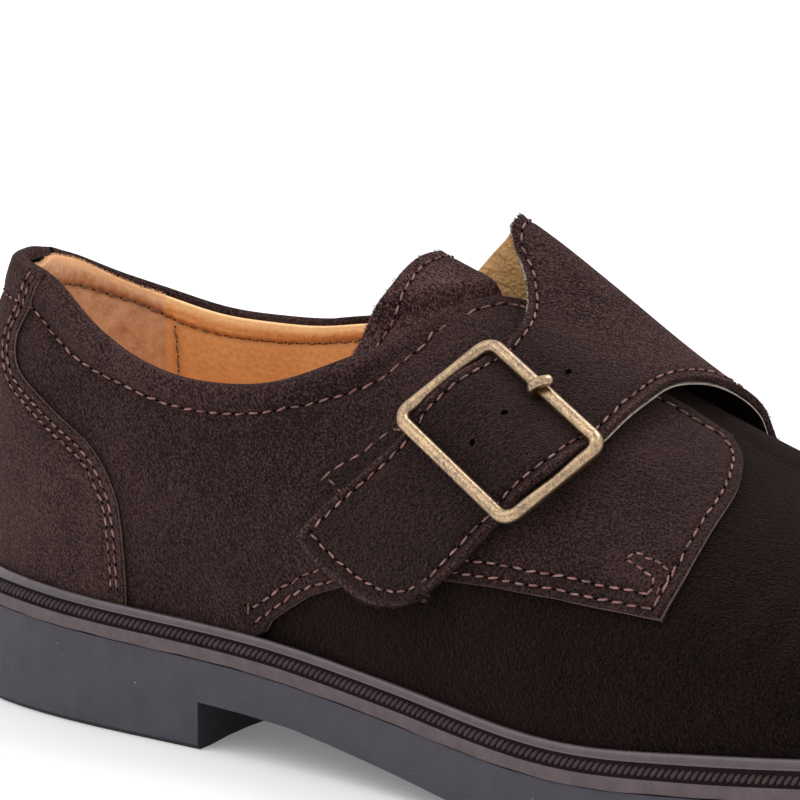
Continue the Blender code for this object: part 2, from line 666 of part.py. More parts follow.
def make_prong():
    """Prong: an eye round the centre bar, a shank up through the strap, a tip on the side bar."""
    eye = []
    for step in range(13):
        turn = pi * (1.0 - 1.86 * step / 12)
        radius = BAR_RADIUS + GAP + 0.33
        eye.append((radius * cos(turn), -BAR_DROP + radius * sin(turn)))
    path = np.array([(-13.6, 1.55), (-12.6, 2.05), (-10.9, 2.35), (-9.0, 2.1), (-7.9, 1.0),
                     (-7.0, -1.0), (-6.0, -2.2), (-4.2, -2.3), (-2.6, -2.0)])
    path = np.concatenate([path, eye])
    thickness = np.concatenate([[0.9, 1.4], np.full(7, PRONG_THICK), np.full(len(eye), 0.66)])
    one, other = strip_outline(path, thickness[:, None])
    rim = np.concatenate([one, other[::-1]])
    count = len(path)
    half = PRONG_WIDTH / 2
    points = [in_buckle(a, PRONG_W + w, h) for w in (-half, half) for a, h in rim]
    faces = []
    around = len(rim)
    for j in range(around):
        after = (j + 1) % around
        faces.append((j, after, around + after, around + j))
    for i in range(count - 1):
        faces.append((i, i + 1, around - 2 - i, around - 1 - i))
        faces.append((around + i, around + i + 1, 2 * around - 2 - i, 2 * around - 1 - i))
    return add_piece("buckle_prong", points, faces, material("prong_brass", (0.42, 0.30, 0.15), 0.4, 1.0))


def make_chape():
    """Leather strip that holds the centre bar and lies on the outer quarter under the strap."""
    path = np.array([(a, d - LAST_DROP - a * a / (2 * LAST_RADIUS)) for a, d in CHAPE_LOOP])
    upper, lower = strip_outline(path, CHAPE)
    across = np.linspace(0, 1, 6)
    inner = []
    outer = []
    for (upper_a, upper_h), (lower_a, lower_h) in zip(upper, lower):
        for w in CHAPE_HALF * (2 * across - 1):
            inner.append(in_buckle(lower_a, w, lower_h))
            outer.append(in_buckle(upper_a, w, upper_h))
    rest = GAP + SUEDE + 1.6 * GAP
    for rear_u, rear_a, front_u, front_a in CHAPE_TAIL:
        u = rear_u + (front_u - rear_u) * across
        a = rear_a + (front_a - rear_a) * across
        inner.extend(on_last(u, a, np.full(len(across), rest)))
        outer.extend(on_last(u, a, np.full(len(across), rest + CHAPE)))
    rows = len(CHAPE_LOOP) + len(CHAPE_TAIL)
    chape = shell("chape", np.array(inner), np.array(outer), grid_faces(rows, len(across)),
                  material("chape_suede", (0.06, 0.036, 0.03), 0.9))
    slot = (PRONG_W - PRONG_WIDTH / 2 - 0.6, PRONG_W + PRONG_WIDTH / 2 + 0.6)
    boolean(chape, box_cutter("chape_slot", (-4.0, 2.6), slot, (-6.0, 2.0)), 'DIFFERENCE')
    return chape


def punch_strap(strap):
    """Hole that the prong comes up through."""
    slot = (PRONG_W - PRONG_WIDTH / 2 - 0.5, PRONG_W + PRONG_WIDTH / 2 + 0.5)
    boolean(strap, box_cutter("prong_hole", (-9.4, -5.4), slot, (-3.9, 3.0)), 'DIFFERENCE')


def main():
    for old in list(bpy.data.objects):
        bpy.data.objects.remove(old, do_unlink=True)
    make_outsole()
    make_welt()
    make_insole()
    make_upper()
    make_tongue()
    make_quarter_outer()
    strap = make_quarter_inner()
    make_counter()
    make_chape()
    make_buckle_frame()
    make_prong()
    punch_strap(strap)


main()
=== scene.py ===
import math
import bpy
import numpy as np
from mathutils import Matrix, Vector


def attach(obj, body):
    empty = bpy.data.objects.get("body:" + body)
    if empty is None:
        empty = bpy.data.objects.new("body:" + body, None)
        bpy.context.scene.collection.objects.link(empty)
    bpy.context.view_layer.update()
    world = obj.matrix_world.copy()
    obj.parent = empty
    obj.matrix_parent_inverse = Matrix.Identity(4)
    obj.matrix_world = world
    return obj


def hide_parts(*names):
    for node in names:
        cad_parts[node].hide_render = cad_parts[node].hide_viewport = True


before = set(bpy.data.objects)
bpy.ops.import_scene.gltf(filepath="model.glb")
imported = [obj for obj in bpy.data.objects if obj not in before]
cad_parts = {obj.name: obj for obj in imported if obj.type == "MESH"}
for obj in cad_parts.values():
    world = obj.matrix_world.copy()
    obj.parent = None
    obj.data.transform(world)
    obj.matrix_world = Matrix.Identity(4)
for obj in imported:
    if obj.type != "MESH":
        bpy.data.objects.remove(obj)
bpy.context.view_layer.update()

print("frame loaded:", len(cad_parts), "nodes")

mm = 0.001
shoe = {
    "length": 300.0,
    "featherInset": 4.5,      # sole edge to the foot of the upper
    "beadHeight": 6.6,        # rubber to the top of the bead, at the waist
    "beadHeightToe": 7.4,
    "planMiddle": (150.0, -0.1358, 0.0),
    "wall": 1.6,
    "gap": 0.3,
    "leather": 1.4,
    "throat": 0.446,
    "heelLean": 2.8,          # how far the top of the heel leans in
    "heelPeak": 0.8,          # degrees that the top line rises at the back
}

# half breadth = breadth * sin(angle along the outline)
planTable = (  # x, centre, breadth
    (0, 0.0, 72.0), (20, 0.0, 57.3), (40, -0.2, 49.4), (75, -1.5, 40.9), (110, -4.2, 37.2),
    (140, -4.6, 40.8), (170, -2.8, 48.0), (200, -0.4, 54.6), (220, 0.2, 58.0),
    (240, 0.4, 60.7), (260, 1.3, 62.4), (280, 2.6, 66.0), (300, 4.0, 71.0))
rubberTable = (  # x, z of the rubber's top edge
    (0, 20.0), (20, 19.7), (40, 18.9), (60, 18.3), (82, 17.7), (100, 16.8), (120, 15.1),
    (135, 13.8), (150, 12.3), (165, 11.1), (180, 10.9), (195, 11.9), (210, 13.2),
    (225, 14.7), (250, 17.2), (275, 20.2), (300, 23.6))
crestTable = (  # x, y, z, fullness outer, fullness inner
    (30, 0.0, 130.0, 3.20, 3.20), (50, 0.5, 121.0, 2.50, 2.50), (75, 3.0, 108.5, 2.10, 2.20),
    (95, 6.0, 98.5, 2.00, 2.10), (112, 8.0, 90.5, 1.95, 2.10), (130, 9.0, 84.0, 1.95, 2.10),
    (150, 9.2, 75.4, 1.95, 1.95), (170, 8.6, 66.8, 2.00, 1.90), (190, 8.0, 59.0, 2.10, 1.90),
    (215, 7.8, 52.7, 2.20, 2.05), (240, 7.6, 49.3, 2.25, 2.25), (264, 7.0, 47.0, 2.30, 2.40))
topTable = (  # u, outer degrees, inner degrees
    (0, 63.9, 63.9), (0.05, 63.2, 64.8), (0.10, 61.2, 65.2), (0.15, 58.2, 64.3),
    (0.184, 55.8, 63), (0.22, 56.2, 61.3), (0.26, 57, 58.3), (0.30, 56.7, 54), (0.34, 53.6, 47),
    (0.375, 46.5, 39), (0.395, 38.9, 31), (0.413, 29.2, 23), (0.425, 18, 16), (0.437, 7, 7),
    (0.446, 0, 0))


# the last, in millimetres from the back of the heel

def curveThrough(xs, ys):
    xs = np.asarray(xs, float)
    ys = np.asarray(ys, float)
    count = len(xs)
    step = np.diff(xs)
    system = np.eye(count)
    right = np.zeros(count)
    for i in range(1, count - 1):
        system[i, i - 1:i + 2] = step[i - 1], 2 * (step[i - 1] + step[i]), step[i]
        right[i] = 6 * ((ys[i + 1] - ys[i]) / step[i] - (ys[i] - ys[i - 1]) / step[i - 1])
    bend = np.linalg.solve(system, right)

    def value(x):
        x = np.clip(np.asarray(x, float), xs[0], xs[-1])
        i = np.clip(np.searchsorted(xs, x) - 1, 0, count - 2)
        d = x - xs[i]
        h = step[i]
        slope = (ys[i + 1] - ys[i]) / h - h * (2 * bend[i] + bend[i + 1]) / 6
        return ys[i] + d * slope + d**2 * bend[i] / 2 + d**3 * (bend[i + 1] - bend[i]) / (6 * h)
    return value


def tableCurves(table):
    xs, *columns = zip(*table)
    return [curveThrough(xs, column) for column in columns]


def tableLine(table):
    xs, ys = zip(*table)
    return lambda x: np.interp(x, xs, ys)


def ease(x, start, end):
    t = np.clip((x - start) / (end - start), 0.0, 1.0)
    return t * t * (3 - 2 * t)


def unit(vectors):
    return vectors / np.maximum(np.linalg.norm(vectors, axis=-1, keepdims=True), 1e-9)


def lengthsAlong(path):
    return np.concatenate([[0], np.cumsum(np.linalg.norm(np.diff(path, axis=0), axis=1))])


def sampled(values, lengths, spots):
    return np.stack([np.interp(spots, lengths, values[:, k]) for k in range(3)], 1)


planCentre, planBreadth = tableCurves(planTable)
rubberTop, = tableCurves(rubberTable)
crestY, crestZ, fullOuter, fullInner = tableCurves(crestTable)
smoothTopOuter, smoothTopInner = tableCurves(topTable)


def raisedTop(u, line, peak):
    return np.where(u >= shoe["throat"], 0.0, np.maximum(line(u), 0.0)) - shoe["heelPeak"] * peak


def topOuter(u):
    # the line stands higher round the outer corner of the heel
    return raisedTop(u, smoothTopOuter, (0.2 + 0.8 * ease(u, 0.0, 0.05)) * (1 - ease(u, 0.13, 0.19)))


def topInner(u):
    return raisedTop(u, smoothTopInner, 0.2 * (1 - ease(u, 0.0, 0.03)))


def soleEdge(phi, inset):
    def edge(angle):
        x = shoe["length"] * (1 - np.cos(angle)) / 2
        return np.stack([x, planCentre(x) - planBreadth(x) * np.sin(angle)], -1)
    along = unit(edge(phi + 1e-4) - edge(phi - 1e-4))
    inward = np.stack([-along[..., 1], along[..., 0]], -1)
    return edge(phi) + inward * np.asarray(inset)[..., None]


def beadRise(x):
    return shoe["beadHeight"] + (shoe["beadHeightToe"] - shoe["beadHeight"]) * ease(x, 160.0, 215.0)


def lastPoint(u, a):
    # u runs from heel 0 to toe 1, a in degrees from the outer foot -90 over the crest 0
    u, a = np.broadcast_arrays(np.asarray(u, float), np.asarray(a, float))
    inner = a > 0
    phi = math.pi * u
    foot = soleEdge(np.where(inner, 2 * math.pi - phi, phi), np.full(u.shape, shoe["featherInset"]))
    footZ = rubberTop(foot[..., 0]) + beadRise(foot[..., 0])
    x = crestTable[0][0] + (crestTable[-1][0] - crestTable[0][0]) * (1 - np.cos(phi)) / 2
    crest = np.stack([x, crestY(x)], -1)
    power = 2 / np.where(inner, fullInner(x), fullOuter(x))
    lean = np.radians(np.clip(np.abs(a), 0, 90))
    plan = crest + (foot - crest) * (np.sin(lean) ** power)[..., None]
    z = footZ + (crestZ(x) - footZ) * np.clip(np.cos(lean), 0, 1) ** power
    return np.concatenate([plan, z[..., None]], -1)


def lastNormal(u, a):
    u, a = np.broadcast_arrays(np.asarray(u, float), np.asarray(a, float))

    def oneSide(sideA):
        v = np.clip(u, 0.004, 0.996)
        b = np.clip(sideA, -89.7, 89.7)
        along = lastPoint(v + 0.001, b) - lastPoint(v - 0.001, b)
        return unit(np.cross(along, lastPoint(v, b + 0.06) - lastPoint(v, b - 0.06)))
    normal = oneSide(a)
    atEnd = ((u < 0.004) | (u > 0.996))[..., None]
    return np.where(atEnd, unit(normal + oneSide(-a)), normal)


def onLast(u, a, d):
    return lastPoint(u, a) + lastNormal(u, a) * np.asarray(d, float)[..., None]


def wallFace(u, a):
    tuck = 2.9 - 1.2 * ease(u, 0.30, 0.36) - 1.7 * ease(u, 0.365, 0.45)
    share = 0.8 - 0.5 * (1 - ease(u, 0.04, 0.17))
    return tuck * (share * ease(90 - np.abs(a), 0.0, 18.0) - 1) - heelLean(u, a)


def heelLean(u, a):
    # the top of the heel leans in over the foot
    outer = shoe["heelLean"] * (1 - ease(u, 0.14, 0.30))
    inner = shoe["heelLean"] * (0.36 * (1 - ease(u, 0.07, 0.17)) + 0.64 * (1 - ease(u, 0.0, 0.06)))
    return np.where(np.asarray(a) < 0, outer, inner) * (1 - ease(belowTop(u, a), 1, 20))


def belowTop(u, a):
    # millimetres down the last from the top line
    u, a = np.broadcast_arrays(np.asarray(u, float), np.asarray(a, float))
    top = np.where(a < 0, topOuter(u), topInner(u))
    steps = np.linspace(0, 1, 9)
    angles = np.sign(a)[..., None] * (top[..., None] + (np.abs(a) - top)[..., None] * steps)
    path = lastPoint(np.broadcast_to(u[..., None], angles.shape), angles)
    lengths = np.linalg.norm(np.diff(path, axis=-2), axis=-1).sum(-1)
    return lengths * np.sign(np.abs(a) - top)


def perDegree(u, top, side):
    # millimetres that one degree is down from the top line
    return np.linalg.norm(lastPoint(u, side * (top + 1.0)) - lastPoint(u, side * top), axis=-1)


def insetRow(u, a, distance, turn):
    # an edge on the last, moved sideways over its surface
    u = np.array(u, float)
    a = np.array(a, float)
    points = lastPoint(u, a)
    along = unit(np.gradient(points, axis=0))
    steps = max(1, int(math.ceil(abs(np.max(distance)))))
    for step in range(steps):
        side = np.cross(lastNormal(u, a), along) * turn
        perU = (lastPoint(u + 0.0005, a) - lastPoint(u - 0.0005, a)) / 0.001
        perA = (lastPoint(u, a + 0.05) - lastPoint(u, a - 0.05)) / 0.1
        uu, aa, ua, su, sa = (np.sum(first * second, 1) for first, second in (
            (perU, perU), (perA, perA), (perU, perA), (side, perU), (side, perA)))
        low = uu * aa - ua * ua
        u = u + (su * aa - sa * ua) / low * distance / steps
        a = a + (sa * uu - su * ua) / low * distance / steps
    return u, a


def placed(points):
    return (np.asarray(points, float) - np.array(shoe["planMiddle"])) * mm


# sheets of leather

def clearSelection():
    if bpy.context.object and bpy.context.object.mode != 'OBJECT':
        bpy.ops.object.mode_set(mode='OBJECT')
    bpy.ops.object.select_all(action='DESELECT')


def makeActive(piece):
    clearSelection()
    piece.select_set(True)
    bpy.context.view_layer.objects.active = piece


def sheetNormals(points):
    # turned away from the middle of the shoe
    normals = unit(np.cross(np.gradient(points, axis=1), np.gradient(points, axis=0)))
    away = points * (0, 1, 1) - (0, 0, 20.0)
    return -normals if np.sum(away * normals) < 0 else normals


def lipProfile(radius, thickness):
    # outward reach and drop of the rows that carry a face round its edge
    lower = np.minimum(radius, thickness - radius)
    rows = [(radius * math.sin(t), radius * (1 - math.cos(t))) for t in (0.5, 1.0, math.pi / 2)]
    rows += [(radius - lower * (1 - math.cos(t)), thickness - lower + lower * math.sin(t))
             for t in (0.05, 0.8, math.pi / 2)]
    rows.append((radius - lower - 1.2, thickness))
    return rows


def withLips(points, normals, lips):
    # lips: side name -> (radius, thickness, border already drawn back)
    for side in ("head", "foot", "front", "rear"):
        if side not in lips:
            continue
        sideways = side in ("front", "rear")
        atStart = side in ("foot", "rear")
        grid, gridNormals = (np.array(array.transpose(1, 0, 2) if sideways else array)
                             for array in (points, normals))
        if atStart:
            grid, gridNormals = grid[::-1], gridNormals[::-1]
        edge, normal = grid[-1], gridNormals[-1]
        outward = np.cross(normal, unit(np.gradient(edge, axis=0)))
        if np.sum(outward * (edge - grid[-2])) < 0:
            outward = -outward
        radius, thickness = (np.broadcast_to(value, (len(edge),)) for value in lips[side][:2])
        if not lips[side][2]:
            edge = edge - outward * radius[:, None]
            grid[-1] = edge
        added = [edge + outward * reach[:, None] - normal * drop[:, None]
                 for reach, drop in lipProfile(radius, thickness)]
        grid = np.concatenate([grid, added])
        gridNormals = np.concatenate([gridNormals, np.repeat(gridNormals[-1:], len(added), 0)])
        if atStart:
            grid, gridNormals = grid[::-1], gridNormals[::-1]
        points, normals = (array.transpose(1, 0, 2) if sideways else array for array in (grid, gridNormals))
    return points


def editAll(piece, operator, **settings):
    makeActive(piece)
    bpy.ops.object.mode_set(mode='EDIT')
    bpy.ops.mesh.select_all(action='SELECT')
    operator(**settings)
    bpy.ops.object.mode_set(mode='OBJECT')


def laySheet(name, points, outward):
    # a grid whose points are laid out row by row, its faces turned to the outside
    rows, columns = points.shape[:2]
    clearSelection()
    bpy.ops.mesh.primitive_grid_add(x_subdivisions=columns - 1, y_subdivisions=rows - 1, size=1)
    piece = bpy.context.object
    piece.name = name
    piece.data.name = name
    piece.data.vertices.foreach_set("co", placed(points).astype(np.float32).ravel())
    piece.data.update()
    normals = np.empty(len(piece.data.polygons) * 3, np.float32)
    piece.data.polygons.foreach_get("normal", normals)
    if np.sum(normals.reshape(-1, 3) * outward[:-1, :-1].reshape(-1, 3)) < 0:
        editAll(piece, bpy.ops.mesh.flip_normals)
    return piece


def padTo(array, lips):
    # normals or masks of the flat part, spread over the lips
    before = [7 if side in lips else 0 for side in ("foot", "rear")]
    after = [7 if side in lips else 0 for side in ("head", "front")]
    widths = [(before[0], after[0]), (before[1], after[1])] + [(0, 0)] * (array.ndim - 2)
    return np.pad(array, widths, mode="edge")


def smooth(piece, angle=None):
    makeActive(piece)
    if angle is None:
        bpy.ops.object.shade_smooth()
    else:
        bpy.ops.object.shade_smooth_by_angle(angle=math.radians(angle))


def mergeDoubles(piece, distance=0.00001):
    editAll(piece, bpy.ops.mesh.remove_doubles, threshold=distance)


def setMask(piece, name, values):
    layer = piece.data.attributes.new(name, 'FLOAT', 'POINT')
    layer.data.foreach_set("value", np.asarray(values, np.float32).ravel())


def joinPieces(name, pieces):
    makeActive(pieces[0])
    for piece in pieces[1:]:
        piece.select_set(True)
    bpy.ops.object.join()
    joined = bpy.context.object
    joined.name = name
    joined.data.name = name
    return joined


def dress(piece, finishes, slot, *nodes):
    piece.data.materials.clear()
    for finish in finishes:
        piece.data.materials.append(finish)
    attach(piece, "root")
    if nodes:
        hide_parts(*nodes)


def finishSheet(name, points, normals, lips, masks, finishes=None, slot=None, node=None, cells=None):
    # from the grid with its lips to the piece; cells gives the finish of each face
    sheet = withLips(points, normals, lips)
    piece = laySheet(name, sheet, padTo(normals, lips))
    for mask, values in masks.items():
        setMask(piece, mask, padTo(values, lips))
    smooth(piece)
    if finishes:
        dress(piece, finishes, slot, node)
    if cells:
        share = np.zeros((sheet.shape[0] - 1, sheet.shape[1] - 1), np.int32)
        for rows, columns, value in cells:
            share[rows, columns] = value
        piece.data.polygons.foreach_set("material_index", share.ravel())
    return piece


# finishes: shader maths as plain expressions

class Value:
    def __init__(self, finish, socket):
        self.finish = finish
        self.socket = socket

    def __add__(self, other):
        return self.finish.maths('ADD', self, other)

    def __sub__(self, other):
        return self.finish.maths('SUBTRACT', self, other)

    def __rsub__(self, other):
        return self.finish.maths('SUBTRACT', other, self)

    def __mul__(self, other):
        return self.finish.maths('MULTIPLY', self, other)

    __radd__ = __add__
    __rmul__ = __mul__


class Finish:
    def __init__(self, name):
        self.material = bpy.data.materials.new(name)
        self.material.use_nodes = True
        self.tree = self.material.node_tree
        self.shader = self.tree.nodes["Principled BSDF"]
        self.place = self.add("ShaderNodeTexCoord").outputs["Object"]

    def feed(self, socket, value):
        value = value.socket if isinstance(value, Value) else value
        if isinstance(value, bpy.types.NodeSocket):
            self.tree.links.new(value, socket)
        else:
            socket.default_value = value

    def add(self, kind, settings=None, inputs=None):
        node = self.tree.nodes.new(kind)
        for key, value in (settings or {}).items():
            setattr(node, key, value)
        for key, value in (inputs or {}).items():
            self.feed(node.inputs[key], value)
        return node

    def maths(self, operation, first, second, clamp=False):
        node = self.add("ShaderNodeMath", {"operation": operation, "use_clamp": clamp},
                        {0: first, 1: second})
        return Value(self, node.outputs[0])

    def clamp(self, value):
        return self.maths('ADD', value, 0.0, clamp=True)

    def step(self, value, low, high):
        node = self.add("ShaderNodeMapRange", {"interpolation_type": 'SMOOTHSTEP'},
                        {"Value": value, "From Min": low, "From Max": high})
        return Value(self, node.outputs["Result"])

    def turned(self, rotation, grains):
        # grains to the metre along each of the turned axes
        node = self.add("ShaderNodeMapping", {"vector_type": 'TEXTURE'},
                        {"Vector": self.place, "Rotation": rotation, "Scale": tuple(1 / g for g in grains)})
        return node.outputs["Vector"]

    def noise(self, scale, detail=3.0, roughness=0.6, vector=None):
        node = self.add("ShaderNodeTexNoise", None, {
            "Vector": vector or self.place, "Scale": scale, "Detail": detail, "Roughness": roughness})
        return Value(self, node.outputs["Fac"])

    def cells(self, scale):
        node = self.add("ShaderNodeTexVoronoi", {"feature": 'F1'}, {"Vector": self.place, "Scale": scale})
        return Value(self, node.outputs["Distance"])

    def mask(self, name):
        node = self.add("ShaderNodeAttribute", {"attribute_name": name})
        return Value(self, node.outputs["Fac"])

    def mix(self, share, first, second):
        node = self.add("ShaderNodeMix", {"data_type": 'RGBA', "clamp_factor": True},
                        {0: share, 6: withAlpha(first), 7: withAlpha(second)})
        return node.outputs[2]

    def bump(self, height, distance, strength):
        node = self.add("ShaderNodeBump", None,
                        {"Height": height, "Distance": distance, "Strength": strength})
        self.feed(self.shader.inputs["Normal"], node.outputs["Normal"])

    def set(self, **inputs):
        sockets = {"colour": "Base Color", "roughness": "Roughness", "metallic": "Metallic",
                   "sheen": "Sheen Weight", "sheenRoughness": "Sheen Roughness",
                   "sheenTint": "Sheen Tint", "coat": "Coat Weight", "coatRoughness": "Coat Roughness",
                   "specular": "Specular IOR Level"}
        for key, value in inputs.items():
            self.feed(self.shader.inputs[sockets[key]], withAlpha(value))


def withAlpha(value):
    return (*value, 1.0) if isinstance(value, tuple) else value


def toned(colour, factor):
    return tuple(channel * factor for channel in colour)


suedeLook = {
    "dark": (0.0042, 0.0018, 0.0019), "light": (0.055, 0.0275, 0.0270),
    "rawDark": (0.030, 0.015, 0.014), "rawLight": (0.32, 0.225, 0.205),
}


def makeSuede(name, tone=1.0, nap=1.0, lean=0.64, paintedLight=0.0, sheen=0.10):
    # short fibres that lean one way, over clumps and soft clouds of tone
    finish = Finish(name)
    drift = finish.noise(48.0)
    patch = finish.noise(230.0)
    clump = finish.noise(1.0, 2.0, 0.6, finish.turned((0.0, lean, 0.0), (1050.0, 1600.0, 1600.0)))
    fibre = finish.noise(1.0, 2.0, 0.75, finish.turned((0.0, lean, 0.0), (1700.0, 3000.0, 3000.0)))
    # bright specks on the fibre tips: painted glints
    tipGlints = finish.step(fibre, 0.56, 0.70)
    seam = finish.mask("seam")
    shade = finish.clamp((fibre - 0.5) * 4.4 * nap + (clump - 0.5) * 1.3 * nap + tipGlints * 0.7
                         + (drift - 0.5) * 1.0 + (patch - 0.5) * 0.4 + 0.30 - seam * 0.12)
    dark, light = (toned(suedeLook[key], tone) for key in ("dark", "light"))
    colour = finish.mix(shade, dark, light)
    # where the paintedLight mask is set, the colour is lifted towards a lighter copy: painted light on
    # faces that catch the lamps
    if paintedLight:
        paintedLitColour = finish.mix(shade, toned(dark, paintedLight), toned(light, paintedLight))
        colour = finish.mix(finish.mask("paintedLight"), colour, paintedLitColour)
    finish.set(colour=colour, roughness=0.95, sheen=sheen, sheenRoughness=0.5,
               sheenTint=(0.85, 0.56, 0.50), specular=0.6 * sheen)
    finish.bump(fibre * 1.0 + clump * 1.4 + patch * 0.5 - seam * 0.3, 0.00050 * nap, 1.0)
    return finish.material


def makeRawEdge(name, dark, light):
    finish = Finish(name)
    rough = finish.noise(1800.0, 4.0, 0.7)
    finish.set(colour=finish.mix(finish.clamp(rough * 1.6 - 0.4), dark, light), roughness=0.9, specular=0.2)
    finish.bump(rough, 0.0003, 0.7)
    return finish.material


def makeLining(name, dark, light, shine, grain=0.00012, paintedShade=False):
    finish = Finish(name)
    drift = finish.noise(55.0)
    cells = finish.cells(1150.0)
    fine = finish.noise(2600.0)
    shade = finish.clamp(drift * 1.5 + fine * 0.35 - 0.45)
    colour = finish.mix(shade, dark, light)
    # wrinkle troughs are painted darker as painted shade in the creases, and where the mask is 1 the colour
    # is painted near black as painted shadow
    if paintedShade:
        wrinkle = finish.noise(1.0, 4.0, 0.6, finish.turned((0.0, 0.5, 0.5), (260.0, 620.0, 620.0)))
        colour = finish.mix(finish.clamp(wrinkle * 2.4 - 1.25), colour, toned(dark, 0.55))
        colour = finish.mix(finish.mask("paintedShade"), colour, (0.016, 0.009, 0.006))
        cells = cells + wrinkle * -3.0
    finish.set(colour=colour, roughness=finish.clamp(shine + fine * 0.15), specular=0.3)
    finish.bump(cells * 0.8 + fine * 0.4 + drift * 2.0, grain, 0.8)
    return finish.material


# the rim colours are partly paler leather and partly a painted highlight where the rim faces the light
# above
liningColours = {
    "tan": ((0.79, 0.34, 0.108), (0.97, 0.52, 0.205)), "nap": ((0.56, 0.235, 0.095), (0.98, 0.66, 0.40)),
    "rim": ((0.97, 0.62, 0.29), (0.92, 0.50, 0.25)), "seam": (0.20, 0.075, 0.03)}  # rim over tan, over nap
rubberColours = {"base": ((0.037, 0.034, 0.045), (0.071, 0.063, 0.082)), "speck": (0.42, 0.42, 0.44)}
brassColours = {"tarnish": (0.18, 0.128, 0.112), "gold": (0.63, 0.445, 0.245)}


def makeShoeLining(name):
    # smooth tan leather with pebbled grain, paler over the rim (partly paler leather, partly a painted
    # highlight from the light above), and mottled nubuck where the grip mask is 1
    finish = Finish(name)
    grip = finish.mask("grip")
    rim = finish.mask("rim")
    seam = finish.mask("seam")
    drift = finish.noise(60.0)
    mottle = finish.noise(330.0, 4.0, 0.7)
    pebble = finish.cells(850.0)
    fine = finish.noise(2600.0, 3.0, 0.65)
    smoothShade = finish.clamp(drift * 1.2 + pebble * 0.5 + fine * 0.3 - 0.5)
    napShade = finish.clamp(mottle * 1.5 + drift * 0.6 + fine * 0.5 - 0.85)
    tan = finish.mix(smoothShade, *liningColours["tan"])
    nap = finish.mix(napShade, *liningColours["nap"])
    body = finish.mix(grip, tan, nap)
    pale = finish.mix(grip, *liningColours["rim"])
    colour = finish.mix(rim * 0.85, body, pale)
    colour = finish.mix(seam * 0.35, colour, liningColours["seam"])
    finish.set(colour=colour, roughness=finish.clamp(0.40 + grip * 0.5 + fine * 0.12), specular=0.4)
    finish.bump(pebble * (1.0 - grip) * 0.9 + mottle * grip * 2.2 + fine * (grip * 0.9 + 0.3) + drift * 1.5,
                0.00022, 0.7)
    return finish.material


def makeWeltFinish(name, dark, light, shine, coat=0.0, gloss=0.4):
    finish = Finish(name)
    drift = finish.noise(300.0)
    fine = finish.noise(2400.0)
    shade = finish.clamp(drift * 1.3 + fine * 0.5 - 0.5)
    finish.set(colour=finish.mix(shade, dark, light), roughness=finish.clamp(shine + fine * 0.2),
               specular=gloss, coat=coat, coatRoughness=0.12)
    finish.bump(drift + fine * 0.5, 0.00015, 0.6)
    return finish.material


def makeRubber(name, tone=1.0):
    finish = Finish(name)
    fine = finish.noise(3000.0)
    drift = finish.noise(160.0)
    speck = 1.0 - finish.step(finish.cells(620.0), 0.05, 0.11)
    rare = finish.step(finish.noise(240.0, 2.0, 0.55), 0.60, 0.68)
    shade = finish.clamp(drift * 0.9 + fine * 0.6 - 0.3)
    base = finish.mix(shade, *(toned(colour, tone) for colour in rubberColours["base"]))
    finish.set(colour=finish.mix(speck * rare * 0.8, base, rubberColours["speck"]),
               roughness=finish.clamp(0.68 + fine * 0.2), specular=0.35)
    finish.bump(fine, 0.00012, 0.6)
    return finish.material


def makeBrass(name, bright=1.0, gold=1.0):
    # worn metal: gold where it is rubbed, grey and brown tarnish in the pits
    finish = Finish(name)
    drift = finish.noise(170.0, 3.0, 0.55)
    speck = finish.noise(1500.0, 4.0, 0.7)
    scratch = finish.noise(1.0, 4.0, 0.65, finish.turned((0.0, 0.6, -0.35), (800.0, 5200.0, 5200.0)))
    worn = finish.clamp((drift - 0.5) * 1.0 * gold + (speck - 0.5) * 1.7 + (scratch - 0.5) * 2.6
                        + 0.52 * gold)
    colour = finish.mix(worn, *(toned(brassColours[key], bright) for key in ("tarnish", "gold")))
    finish.set(colour=colour, roughness=finish.clamp(0.38 - worn * 0.12), metallic=1.0)
    finish.bump(scratch * 0.5 + speck * 0.6, 0.00007, 0.7)
    return finish.material


def makeThread(name, dark, light, shine=0.3):
    finish = Finish(name)
    drift = finish.noise(420.0, 2.0, 0.55)
    strand = finish.noise(3000.0, 3.0, 0.7)
    shade = finish.clamp((drift - 0.5) * 2.2 + (strand - 0.5) * 2.2 + 0.5)
    finish.set(colour=finish.mix(shade, dark, light), roughness=0.75, specular=shine)
    finish.bump(strand, 0.00014, 0.8)
    return finish.material


# the counter's and the tongue's higher tones, and the lifts of 1.55 on the quarter and 3.0 on the strap,
# are painted light where the parts face the lamps
suede = makeSuede("suede", 1.10, paintedLight=1.55)
vampSuede = makeSuede("suedeVamp", 0.22, 1.1, sheen=0.06)
counterSuede = makeSuede("suedeCounter", 1.65)
strapSuede = makeSuede("suedeStrap", 0.62, 1.3, 0.0, 3.0)
tongueSuede = makeSuede("suedeTongue", 2.8, 0.9)
rawEdge = makeRawEdge("suedeRawEdge", suedeLook["rawDark"], suedeLook["rawLight"])
whiteEdge = makeRawEdge("liningRawEdge", (0.20, 0.145, 0.11), (0.86, 0.78, 0.68))
lining = makeShoeLining("liningTan")
sockLeather = makeLining("sockLeather", (0.40, 0.18, 0.065), (0.62, 0.31, 0.12), 0.42)
strapLining = makeLining("strapLining", (0.66, 0.33, 0.115), (0.97, 0.62, 0.28), 0.5, 0.0004, True)
weltSide = makeWeltFinish("weltSide", (0.064, 0.044, 0.048), (0.125, 0.092, 0.098), 0.66)
weltRib = makeWeltFinish("weltRib", (0.014, 0.0065, 0.0075), (0.062, 0.034, 0.037), 0.42, gloss=0.3)
